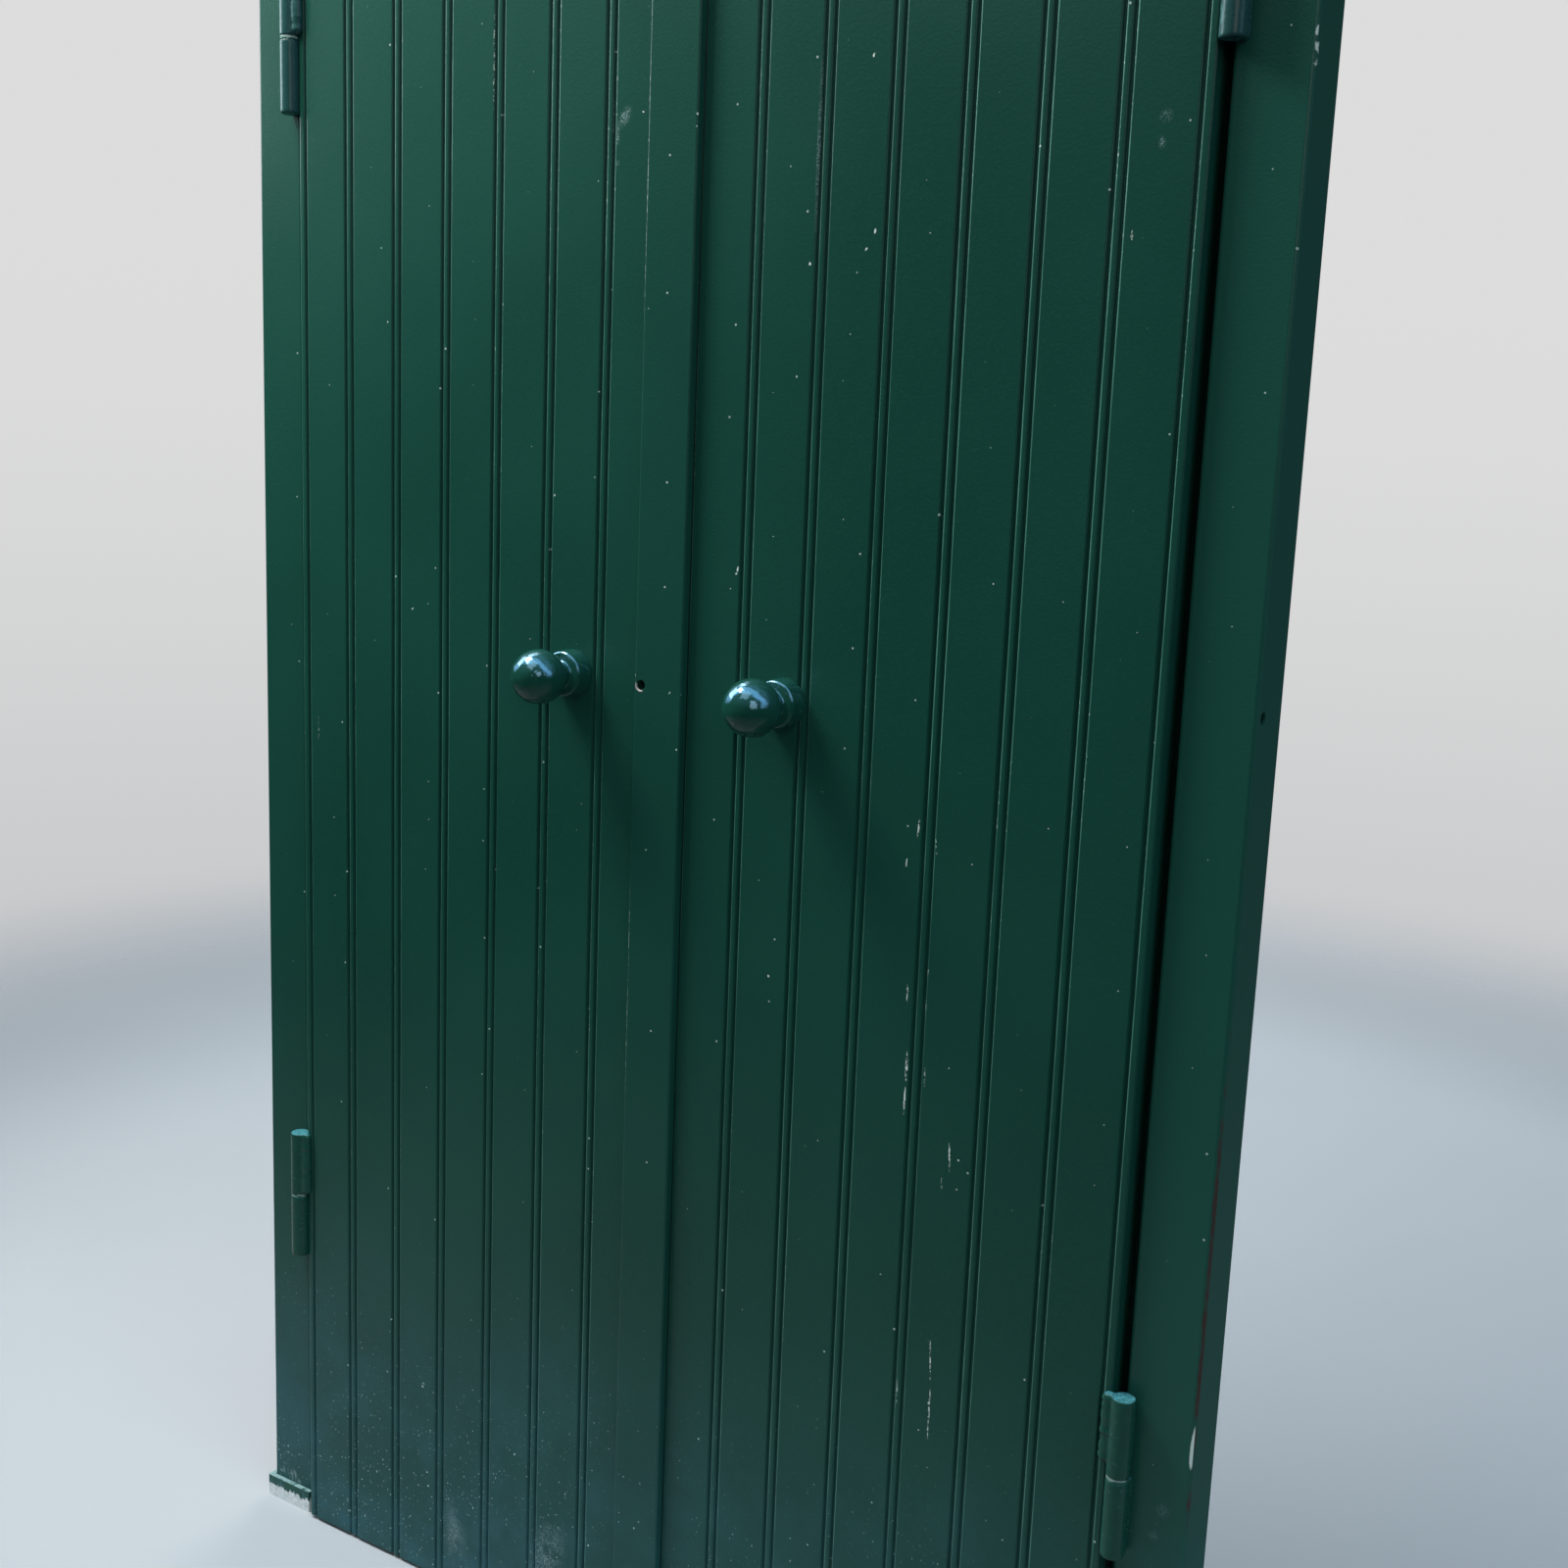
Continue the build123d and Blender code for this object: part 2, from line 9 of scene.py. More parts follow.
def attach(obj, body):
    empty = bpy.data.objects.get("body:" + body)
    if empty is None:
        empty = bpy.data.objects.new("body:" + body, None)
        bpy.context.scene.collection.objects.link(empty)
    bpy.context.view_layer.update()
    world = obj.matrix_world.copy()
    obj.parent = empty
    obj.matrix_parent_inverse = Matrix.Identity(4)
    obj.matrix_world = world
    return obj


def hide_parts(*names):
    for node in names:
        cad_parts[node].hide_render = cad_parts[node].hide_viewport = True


# Looks of a pair of steel shutter leaves in a tube frame, in metres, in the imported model's frame:
# X across the opening, Y into the wall, Z up. The left leaf is the one at -X.

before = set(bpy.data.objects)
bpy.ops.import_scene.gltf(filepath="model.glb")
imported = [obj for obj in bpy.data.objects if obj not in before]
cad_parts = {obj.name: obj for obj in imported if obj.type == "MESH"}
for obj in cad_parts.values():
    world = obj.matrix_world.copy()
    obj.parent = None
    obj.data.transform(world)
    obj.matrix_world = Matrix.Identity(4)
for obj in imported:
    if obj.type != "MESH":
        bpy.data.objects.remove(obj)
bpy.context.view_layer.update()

MM = 0.001
mirror = Matrix.Scale(-1, 4, (1, 0, 0))                 # left to right
inwards = Matrix.Rotation(math.radians(-90), 4, "X")    # turned forms point into the wall
outwards = Matrix.Rotation(math.radians(90), 4, "X")    # and out of it

# Leaves, as in the part's source
leaf_low = 4 * MM
leaf_high = 1974 * MM
leaf_width = 462 * MM
leaf_outer = 465 * MM          # from the opening's middle to a leaf's hinged edge
leaf_front = -47.5 * MM
leaf_back = -13.5 * MM
sheet = 1.5 * MM
return_depth = 16 * MM
board_pitch = 63.6 * MM
groove_spacing = 8.6 * MM
groove_half = 2.0 * MM
floor_half = 0.6 * MM
groove_depth = 2.5 * MM
lip_r = 2.0 * MM
floor_r = 0.8 * MM

# Cover strip and key hole
strip_left = -31.5 * MM
strip_right = 20.5 * MM
strip_front = -55.5 * MM
strip_edge_r = 2.0 * MM
strip_stray = 0.25 * MM        # its edges wander by this much
key_x = -24.5 * MM
key_z = 993.5 * MM
key_r = 4.5 * MM
key_lip = 1.0 * MM

# Knobs
knob_left_at = (-108 * MM, leaf_front, 996.5 * MM)
knob_right_at = (123.5 * MM, leaf_front, 992.5 * MM)
ball_r = 25 * MM
ball_reach = 50 * MM
neck_r = 12 * MM
rose_foot_r = 22 * MM
rose_rim_r = 21 * MM
rose_height = 19 * MM
rose_edge_r = 3 * MM
rose_foot_edge = 0.6 * MM
neck_fillet = 1.6 * MM
knob_lumps = 0.32 * MM         # relief of the brushed paint

# Hinges
hinge_x = 475.5 * MM
hinge_y = -48 * MM
barrel_r = 10 * MM
barrel_length = 69 * MM
barrel_edge = 1.2 * MM
bore_r = 5.1 * MM
bore_stop = 15 * MM            # from a barrel's closed end to the bottom of its bore
weld_inset = 3.5 * MM
washer = 3 * MM
hinge_heights = {
    "hinge_lower_left": 387.5 * MM,
    "hinge_upper_left": 1584.5 * MM,
    "hinge_lower_right": 391 * MM,
    "hinge_upper_right": 1573 * MM,
}

# Frame
frame_front = -37.5 * MM
frame_half = 533 * MM
shoe_top = 25 * MM


# Node trees

class Value:
    """A socket in a node tree. Arithmetic on it adds Math nodes."""

    def __init__(self, nodes, socket):
        self.nodes = nodes
        self.socket = socket

    def maths(self, operation, first, second):
        return self.nodes.add("ShaderNodeMath", {"operation": operation}, {0: first, 1: second})

    def __add__(self, other):
        return self.maths("ADD", self, other)

    def __radd__(self, other):
        return self.maths("ADD", other, self)

    def __sub__(self, other):
        return self.maths("SUBTRACT", self, other)

    def __rsub__(self, other):
        return self.maths("SUBTRACT", other, self)

    def __mul__(self, other):
        return self.maths("MULTIPLY", self, other)

    def __rmul__(self, other):
        return self.maths("MULTIPLY", other, self)

    def most(self, other):
        return self.maths("MAXIMUM", self, other)

    def size(self):
        return self.maths("ABSOLUTE", self, 0.0)

    def ramp(self, low, high):
        """0 at low, 1 at high and smooth between; low may be above high."""
        ends = {"To Min": 0.0, "To Max": 1.0} if low < high else {"To Min": 1.0, "To Max": 0.0}
        values = {"Value": self, "From Min": min(low, high), "From Max": max(low, high), **ends}
        return self.nodes.add("ShaderNodeMapRange", {"interpolation_type": "SMOOTHSTEP"}, values)


class Nodes:
    """A node tree under construction."""

    def __init__(self, tree):
        self.tree = tree
        tree.nodes.clear()

    def add(self, kind, settings, values, output=0):
        """A node: its settings are made first, then its sockets get values or links."""
        node = self.tree.nodes.new(kind)
        for name, setting in settings.items():
            setattr(node, name, setting)
        for key, value in values.items():
            self.feed(node.inputs[key], value)
        return Value(self, node.outputs[output]) if node.outputs else None

    def feed(self, socket, value):
        if isinstance(value, Value):
            self.tree.links.new(value.socket, socket)
        else:
            socket.default_value = value

    def vector(self, operation, *values, output="Vector"):
        """Vector maths on values, in the order of the node's sockets."""
        values = dict(enumerate(values))
        return self.add("ShaderNodeVectorMath", {"operation": operation}, values, output)

    def part(self, vector, axis):
        return self.add("ShaderNodeSeparateXYZ", {}, {0: vector}, axis)

    def joined(self, **parts):
        """A vector from its X, Y and Z, which are 0 where they are left out."""
        return self.add("ShaderNodeCombineXYZ", {}, parts)

    def blend(self, share, first, second):
        values = {0: share, 6: first, 7: second}
        return self.add("ShaderNodeMix", {"data_type": "RGBA"}, values, 2)


class Shaper(Nodes):
    """A Geometry Nodes tree with named inputs, which ends in real geometry under the given paint."""

    def __init__(self, name, sockets, result):
        super().__init__(bpy.data.node_groups.new(name, "GeometryNodeTree"))
        self.result = result
        for socket, kind in sockets.items():
            self.tree.interface.new_socket(socket, in_out="INPUT", socket_type=f"NodeSocket{kind}")
        self.tree.interface.new_socket(result, in_out="OUTPUT", socket_type="NodeSocketGeometry")
        self.given = {socket: self.add("NodeGroupInput", {}, {}, socket) for socket in sockets}

    def painted(self, geometry):
        real = self.add("GeometryNodeRealizeInstances", {}, {"Geometry": geometry})
        values = {"Geometry": real, "Material": self.given["Paint"]}
        self.add("NodeGroupOutput", {}, {self.result: self.add("GeometryNodeSetMaterial", {}, values)})
        return self.tree


class Paint(Nodes):
    """Nodes of one finish, in the object's own coordinates."""

    def __init__(self, name):
        self.material = bpy.data.materials.new(name)
        self.material.use_nodes = True
        super().__init__(self.material.node_tree)
        self.place = self.add("ShaderNodeTexCoord", {}, {}, "Object")
        self.x = self.part(self.place, "X")
        self.y = self.part(self.place, "Y")
        self.z = self.part(self.place, "Z")
        self.normal = self.add("ShaderNodeTexCoord", {}, {}, "Normal")

    def stretched(self, x, y, z):
        return self.vector("MULTIPLY", self.place, (x, y, z))

    def cloud(self, scale, detail=3.0, roughness=0.5, where=None):
        where = where or self.place
        values = {"Vector": where, "Scale": scale, "Detail": detail, "Roughness": roughness}
        return self.add("ShaderNodeTexNoise", {}, values)

    def dots(self, where, scale, reach, rarity):
        """1 in round dots of random sizes, one to a cell; rarity is the share of empty cells."""
        values = {"Vector": where, "Scale": scale}
        far = self.add("ShaderNodeTexVoronoi", {"voronoi_dimensions": "2D"}, values, "Distance")
        hue = self.add("ShaderNodeTexVoronoi", {"voronoi_dimensions": "2D"}, values, "Color")
        chance = self.part(hue, "X").ramp(rarity, 1.0)
        return (far - reach * chance).ramp(0.3 * reach, 0.0)

    def spot(self, where, centre, half, turn, core):
        """1 inside an ellipse on the face, by its centre and half sizes; core is its full share."""
        if turn:
            away = self.vector("SUBTRACT", where, centre)
            across = (math.cos(turn) / half[0], 0.0, -math.sin(turn) / half[0])
            along = (math.sin(turn) / half[2], 0.0, math.cos(turn) / half[2])
            across = self.vector("DOT_PRODUCT", away, across, output="Value")
            along = self.vector("DOT_PRODUCT", away, along, output="Value")
            local = self.joined(X=across, Y=along)
        else:
            scale = [1 / size for size in half]
            local = self.vector("MULTIPLY_ADD", where, scale, [-at * k for at, k in zip(centre, scale)])
        return self.vector("LENGTH", local, output="Value").ramp(1.0, core)

    def spots(self, marks, depth, core=0.75):
        """A list of marks on a face at one depth: x, z, half width, half length, turn in degrees."""
        values = {"Vector": self.place, "Scale": 1100.0, "Detail": 2.0}
        fine = self.add("ShaderNodeTexNoise", {}, values, "Color")
        push = self.vector("SUBTRACT", fine, (0.5, 0.5, 0.5))
        ragged = self.vector("MULTIPLY_ADD", push, (mark_fringe, 0.0, mark_fringe), self.place)
        share = self.add("ShaderNodeValue", {}, {})
        for x, z, half_width, half_length, turn in marks:
            centre = (x * MM, depth, z * MM)
            half = (half_width * MM, mark_depth, half_length * MM)
            share = share.most(self.spot(ragged, centre, half, math.radians(turn), core))
        near = self.y.ramp(depth + mark_depth, depth + 0.75 * mark_depth)
        return share * near * self.part(self.normal, "Y").ramp(0.3, -0.3)

    def bumped(self, height, distance, under=None):
        values = {"Height": height, "Distance": distance, "Strength": 1.0}
        if under:
            values["Normal"] = under
        return self.add("ShaderNodeBump", {}, values)

    def shader(self, colour, roughness, normal, fixed):
        """Principled shader from what varies and the constants on its own sockets."""
        values = {"Base Color": colour, "Roughness": roughness, "Normal": normal, **fixed}
        return self.add("ShaderNodeBsdfPrincipled", {}, values)

    def output(self, shader):
        self.add("ShaderNodeOutputMaterial", {}, {"Surface": shader})
        return self.material

    def finish(self, colour, roughness, normal, fixed):
        return self.output(self.shader(colour, roughness, normal, fixed))


# Finishes

green = (0.0070, 0.0525, 0.0370, 1)
green_light = (0.0120, 0.0745, 0.0540, 1)
green_painted_shade = (0.0022, 0.026, 0.020, 1)
green_worn_and_lit = (0.075, 0.21, 0.165, 1)
dust_and_sky_blue = (0.065, 0.19, 0.25, 1)
chalk = (0.62, 0.68, 0.62, 1)
splash = (0.52, 0.60, 0.56, 1)
rubbed = (0.34, 0.46, 0.48, 1)
handled = (0.20, 0.30, 0.28, 1)
scuffed = (0.30, 0.42, 0.40, 1)
ringed = (0.24, 0.36, 0.38, 1)
shoe_scuff = (0.30, 0.40, 0.40, 1)
shoe_white = (0.80, 0.83, 0.82, 1)
shoe_stain = (0.55, 0.58, 0.57, 1)
weld_blue = (0.020, 0.062, 0.070, 1)
weld_lit_top = (0.09, 0.34, 0.39, 1)
weld_glint = (0.42, 0.60, 0.62, 1)
weld_lit_side = (0.09, 0.25, 0.24, 1)
weld_lit_edge = (0.035, 0.15, 0.115, 1)
washer_line = (0.30, 0.40, 0.37, 1)
zinc_grey = (0.34, 0.35, 0.35, 1)
zinc_light = (0.52, 0.53, 0.52, 1)
zinc_grime = (0.16, 0.15, 0.13, 1)
primer = (0.055, 0.022, 0.020, 1)
pale_rim_wear_and_highlight = (0.34, 0.30, 0.28, 1)
gloss = {"IOR": 1.27}
# a stronger, blue-tinted reflection that paints the sky onto the knobs' upper faces
knob_sky_reflection = {"IOR": 2.5, "Specular Tint": (0.36, 0.70, 1.0, 1)}

dust_and_sky_top = 450 * MM            # ground dust, bluish as painted sky and floor light too, ends at this height
thick_dust_and_sky_top = 130 * MM          # and is thick under this one
dust_and_sky_share = 0.42
mark_fringe = 1.6 * MM         # how far a mark's edge strays
mark_depth = 2.0 * MM          # how far behind the face it still shows


def rolled_gloss(paint, faded=None):
    """Rolled green gloss: colour, orange peel over slow slumps, and its broad patches."""
    broad = paint.cloud(3.2, 2.0, 0.5)
    pale = broad.ramp(0.36, 0.66) * 0.35
    if faded:
        pale = pale.most(faded)
    colour = paint.blend(pale, green, green_light)
    slumps = paint.bumped(paint.cloud(9.0, 1.0, 0.4), 0.5 * MM)
    peel = paint.cloud(430.0, 2.0, 0.55)
    colour = paint.blend(peel.ramp(0.5, 0.72) * 0.3, colour, green_light)
    return colour, paint.bumped(peel, 0.16 * MM, slumps), broad


def speckled(paint, low):
    """Small pale splashes and fibres, sparse everywhere and thicker near the ground."""
    flat = paint.joined(X=paint.x, Y=paint.z)
    values = {"Vector": flat, "Rotation": (0, 0, 0.6), "Scale": (1, 0.5, 1)}
    slant = paint.add("ShaderNodeMapping", {}, values)
    values = {"Vector": flat, "Rotation": (0, 0, -0.25), "Scale": (1, 0.4, 1)}
    steep = paint.add("ShaderNodeMapping", {}, values)
    sparse = paint.dots(flat, 15.0, 0.013, 0.25)
    thick = paint.dots(flat, 47.0, 0.030, 0.35)
    fine = paint.dots(flat, 170.0, 0.080, 0.6).most(paint.dots(slant, 150.0, 0.06, 0.6))
    fibres = paint.dots(steep, 88.0, 0.042, 0.6).most(paint.dots(slant, 71.0, 0.03, 0.65))
    gathered = paint.cloud(7.0, 3.0, 0.6).ramp(0.40, 0.60)
    facing = paint.part(paint.normal, "Y").size().ramp(0.4, 0.7)
    small = (fine * gathered).most(fibres * (0.4 + gathered)) * low * low * 0.85
    return (sparse * 0.7).most(thick * low * 0.95).most(small) * facing


def groove_shade_and_lip_light(paint, colour, low):
    """Painted shade in the grooves and on their walls facing +X, a painted highlight with rubbed paint
    on the lips facing -X, and flecks on those lips; the colour, the lips and the flecks.
    """
    def behind(near, far):
        return paint.y.ramp(leaf_front + near * MM, leaf_front + far * MM)

    across = paint.part(paint.normal, "X")
    inner = behind(4.0, 3.0)
    # painted shade: deep in a groove and on its walls facing +X, away from the light
    painted_groove_shade = behind(0.5, 1.6) * inner
    painted_groove_shade = painted_groove_shade.most(across.ramp(0.15, 0.5) * behind(0.0, 0.2) * inner)
    colour = paint.blend(painted_groove_shade * 0.24, colour, green_painted_shade)
    # painted highlight: lips facing -X, towards the light, are paled and mixed with rubbed paint; dust
    # settles on them near the ground and flecks sit on them
    lip_wear_and_highlight = behind(0.03, 0.2) * across.ramp(0.0, -0.3) * inner * behind(1.5, 0.9)
    worn = paint.cloud(1.0, 3.0, 0.6, paint.stretched(60.0, 60.0, 14.0)).ramp(0.34, 0.66)
    colour = paint.blend(lip_wear_and_highlight * (0.35 + 0.45 * worn), colour, green_worn_and_lit)
    fleck = paint.cloud(1.0, 3.0, 0.6, paint.stretched(700.0, 700.0, 260.0)).ramp(0.60, 0.68)
    rare = paint.cloud(1.0, 1.0, 0.5, paint.stretched(11.0, 11.0, 4.0)).ramp(0.50, 0.68)
    front = paint.part(paint.normal, "Y").ramp(0.6, 0.3)
    return colour, 0.3 * lip_wear_and_highlight * low, fleck * lip_wear_and_highlight * rare * front


def marked(paint, colour, marks, depth):
    """Rubbed places, chips, scratches and flecks of a face; the colour and how much rougher it is."""
    torn = paint.cloud(1.0, 3.0, 0.6, paint.stretched(700.0, 700.0, 260.0))
    chips = paint.spots(marks["chips"], depth)
    chips = chips.most(paint.spots(marks["scratches"], depth) * torn.ramp(0.46, 0.52))
    chips = chips.most(paint.spots(marks["flecks"], depth) * torn.ramp(0.50, 0.58) * 0.55)
    grain = paint.cloud(900.0, 3.0, 0.75).ramp(0.47, 0.62)
    grain = grain * paint.cloud(75.0, 2.0, 0.6).ramp(0.28, 0.55)
    rubs = paint.spots(marks["rubs"], depth, 0.0) * grain
    colour = paint.blend(rubs * 0.85, colour, rubbed)
    return paint.blend(chips, colour, chalk), 0.35 * chips.most(rubs * 0.5)


def key_rim_wear_and_highlight(paint, colour):
    """Colour with the lip of the key hole paled to grey at its -X side and below: worn paint, and a
    painted highlight where the lit inner wall shows.
    """
    centre = paint.joined(X=key_x, Y=paint.y, Z=key_z)
    far = paint.vector("DISTANCE", paint.place, centre, output="Value")
    # painted highlight with worn paint: only the lower, -X side of the lip is paled
    below = (key_x - paint.x) + (key_z - paint.z)
    rim = far.ramp(key_r + 1.8 * MM, key_r + 1.2 * MM) * below.ramp(1.5 * MM, 4.5 * MM)
    return paint.blend(rim * paint.y.ramp(strip_front + 2 * MM, strip_front + 1 * MM), colour, pale_rim_wear_and_highlight)


def gloss_paint(name, marks=None, depth=leaf_front, grooved=False):
    """Green gloss paint: orange peel, bluish dust towards the ground that is partly painted sky and
    floor light, splashes, chips and scratches.
    """
    paint = Paint(name)
    colour, normal, broad = rolled_gloss(paint)
    low = paint.z.ramp(dust_and_sky_top, 0.0)
    veil = paint.cloud(11.0, 3.0, 0.62).ramp(0.38, 0.74)
    # painted light: the bluish dust film is made thick near the ground, where it also stands in for sky
    # and floor light
    dust_and_sky_film = low * (0.3 + 0.5 * veil) + 0.5 * paint.z.ramp(thick_dust_and_sky_top, 0.0) * veil
    specks = speckled(paint, low)
    roughness = 0.25 + 0.06 * broad + 0.3 * dust_and_sky_film
    if grooved:
        colour, settled, flecks = groove_shade_and_lip_light(paint, colour, low)
        dust_and_sky_film = dust_and_sky_film + settled
        specks = specks.most(flecks)
    colour = paint.blend(dust_and_sky_film * dust_and_sky_share, colour, dust_and_sky_blue)
    colour = paint.blend(specks, colour, splash)
    if marks:
        colour, rougher = marked(paint, colour, marks, depth)
        roughness = roughness + rougher
    if depth == strip_front:
        colour = key_rim_wear_and_highlight(paint, colour)
    return paint.finish(colour, roughness, normal, gloss)


def hand_paint(name):
    """Smooth, bright gloss paint with a few rubbed places, as on what the hand pulls; faces turned up
    get a painted sky reflection, stronger and tinted blue.
    """
    paint = Paint(name)
    patch = paint.cloud(60.0, 3.0, 0.5)
    colour = paint.blend(patch.ramp(0.4, 0.7) * 0.5, green, green_light)
    rub = paint.cloud(120.0, 5.0, 0.7).ramp(0.66, 0.74)
    colour = paint.blend(rub * 0.35, colour, handled)
    scratch = paint.cloud(1.0, 4.0, 0.7, paint.stretched(420.0, 130.0, 260.0)).ramp(0.715, 0.735)
    colour = paint.blend(scratch, colour, chalk)
    roughness = 0.09 + 0.15 * rub + 0.4 * scratch
    normal = paint.bumped(paint.cloud(140.0, 3.0, 0.6), 0.32 * MM)
    # painted reflection: faces turned up reflect more, tinted blue as if mirroring the sky
    upper = paint.part(paint.normal, "Z").ramp(-0.1, 0.45)
    plain = paint.shader(colour, roughness, normal, gloss)
    painted_sky_reflection = paint.shader(colour, roughness, normal, knob_sky_reflection)
    return paint.output(paint.add("ShaderNodeMixShader", {}, {0: upper, 1: plain, 2: painted_sky_reflection}))


def weld_paint(name):
    """Thick, uneven paint over weld and barrels: painted highlight and glints on the faces turned up,
    bluish high up, and a painted highlight with worn paint on the sides facing -X.
    """
    paint = Paint(name)
    patch = paint.cloud(90.0, 5.0, 0.6)
    colour = paint.blend(patch.ramp(0.4, 0.75) * 0.5, green, green_light)
    upward = paint.part(paint.normal, "Z").ramp(0.6, 0.95)
    mottle = paint.cloud(430.0, 4.0, 0.7)
    # painted highlight: faces turned up are paled and given glints, as if lit from above
    colour = paint.blend(upward * (0.22 + 0.5 * mottle.ramp(0.38, 0.62)), colour, weld_lit_top)
    colour = paint.blend(upward * mottle.ramp(0.60, 0.70) * 0.6, colour, weld_glint)
    worn = paint.cloud(210.0, 5.0, 0.7).ramp(0.62, 0.70)
    colour = paint.blend(worn * 0.3, colour, dust_and_sky_blue)
    colour = paint.blend(paint.z.ramp(1.35, 1.5) * 0.6, colour, weld_blue)
    # painted highlight with worn paint: on the upper hinges the sides facing -X, towards the light, are
    # paled in patches
    side = paint.part(paint.normal, "X").ramp(-0.2, -0.75) * paint.z.ramp(1.45, 1.55)
    side = side * paint.cloud(1.0, 4.0, 0.65, paint.stretched(260.0, 260.0, 120.0)).ramp(0.38, 0.58)
    colour = paint.blend(side * 0.7, colour, weld_lit_side)
    # painted highlight: on the lower hinges the sides facing -X, towards the light, are brighter green,
    # with pale specks
    edge = paint.part(paint.normal, "X").ramp(-0.45, -0.9) * paint.z.ramp(1.2, 1.0)
    colour = paint.blend(edge * (0.25 + 0.35 * mottle.ramp(0.4, 0.6)), colour, weld_lit_edge)
    colour = paint.blend(edge * mottle.ramp(0.64, 0.70) * 0.5, colour, chalk)
    roughness = 0.24 + 0.2 * upward + 0.25 * worn
    normal = paint.bumped(paint.cloud(190.0, 4.0, 0.55), 0.3 * MM)
    return paint.finish(colour, roughness, normal, gloss)


def worn_washer(name):
    """Painted washer with a thin line rubbed to pale metal."""
    paint = Paint(name)
    line = paint.cloud(1.0, 2.0, 0.5, paint.stretched(90.0, 90.0, 330.0)).ramp(0.50, 0.56)
    colour = paint.blend(line * 0.7, green_light, washer_line)
    normal = paint.bumped(paint.cloud(900.0, 3.0), 0.08 * MM)
    return paint.finish(colour, 0.35 + 0.2 * line, normal, gloss)


def zinc(name):
    """Dull zinc plating with faint spangle and grime."""
    paint = Paint(name)
    cells = paint.add("ShaderNodeTexVoronoi", {}, {"Vector": paint.place, "Scale": 160.0}, "Color")
    spangle = paint.part(cells, "X")
    grime = paint.cloud(60.0, 5.0, 0.65).ramp(0.5, 0.75)
    colour = paint.blend(spangle * 0.5, zinc_grey, zinc_light)
    colour = paint.blend(grime * 0.6, colour, zinc_grime)
    roughness = 0.3 + 0.15 * spangle + 0.3 * grime
    normal = paint.bumped(paint.cloud(500.0, 3.0), 0.05 * MM)
    return paint.finish(colour, roughness, normal, {"Metallic": 0.9})


def shoe_finish(name):
    """Shoe plate: green above, chalky white and chipped where the ground meets it."""
    paint = Paint(name)
    ragged = paint.cloud(1.0, 5.0, 0.7, paint.stretched(170.0, 170.0, 60.0)) - 0.5
    edge = paint.z + 26 * MM * ragged
    white = edge.ramp(14.8 * MM, 13.9 * MM)
    stain = paint.cloud(210.0, 5.0, 0.7)
    pale = paint.blend(stain.ramp(0.35, 0.7), shoe_white, shoe_stain)
    dusty = paint.cloud(150.0, 5.0, 0.7).ramp(0.50, 0.62)
    tone = paint.blend(dusty * 0.4, green_light, dust_and_sky_blue)
    ledge = paint.z.ramp(shoe_top - 1.0 * MM, shoe_top - 0.3 * MM)
    ledge = ledge * paint.cloud(90.0, 4.0, 0.6).ramp(0.35, 0.5)
    tone = paint.blend(ledge * 0.8, tone, scuffed)
    colour = paint.blend(white, tone, pale)
    normal = paint.bumped(1 - white, 0.3 * MM)
    normal = paint.bumped(stain, 0.25 * MM, normal)
    return paint.finish(colour, 0.3 + 0.5 * white, normal, gloss)


def frame_finish(name):
    """Frame paint, paler on the right jamb, with primer and plaster along that one's outer edge."""
    paint = Paint(name)
    colour, normal, broad = rolled_gloss(paint, paint.x.ramp(0.3, 0.4) * 0.9)
    low = paint.z.ramp(dust_and_sky_top, 0.0)
    # the same bluish dust film towards the ground, partly painted sky and floor light
    dust_and_sky_film = low * (0.3 + 0.5 * paint.cloud(11.0, 3.0, 0.62).ramp(0.38, 0.74))
    colour = paint.blend(dust_and_sky_film * dust_and_sky_share, colour, dust_and_sky_blue)
    colour = paint.blend(speckled(paint, low), colour, splash)
    rings = paint.spots(frame_marks["rings"], frame_front, 0.2)
    colour = paint.blend(rings * paint.cloud(700.0, 4.0, 0.7).ramp(0.4, 0.7) * 0.3, colour, ringed)
    scuffs = paint.spots(frame_marks["scuffs"], frame_front)
    scuffs = scuffs * paint.cloud(1.0, 4.0, 0.7, paint.stretched(300.0, 300.0, 120.0)).ramp(0.45, 0.62)
    colour = paint.blend(scuffs * 0.5, colour, shoe_scuff)
    near = paint.y.ramp(frame_front + 5 * MM, frame_front + 3 * MM)
    outer = paint.x + 4 * MM * (paint.cloud(42.0, 6.0, 0.7) - 0.5)
    rim = outer.ramp(frame_half - 2.4 * MM, frame_half - 1.4 * MM) * near
    bare = rim * paint.cloud(14.0, 5.0, 0.6).ramp(0.46, 0.58) * paint.z.ramp(1.0, 0.6)
    colour = paint.blend(bare * 0.9, colour, primer)
    plaster = rim * paint.cloud(20.0, 5.0, 0.65).ramp(0.66, 0.70)
    plaster = plaster.most(paint.spots(frame_marks["chips"], frame_front))
    colour = paint.blend(plaster, colour, chalk)
    side = paint.part(paint.normal, "X").size().ramp(0.6, 0.9)
    roughness = 0.26 + 0.06 * broad + 0.3 * dust_and_sky_film + 0.45 * plaster.most(bare).most(side)
    return paint.finish(colour, roughness, normal, gloss)


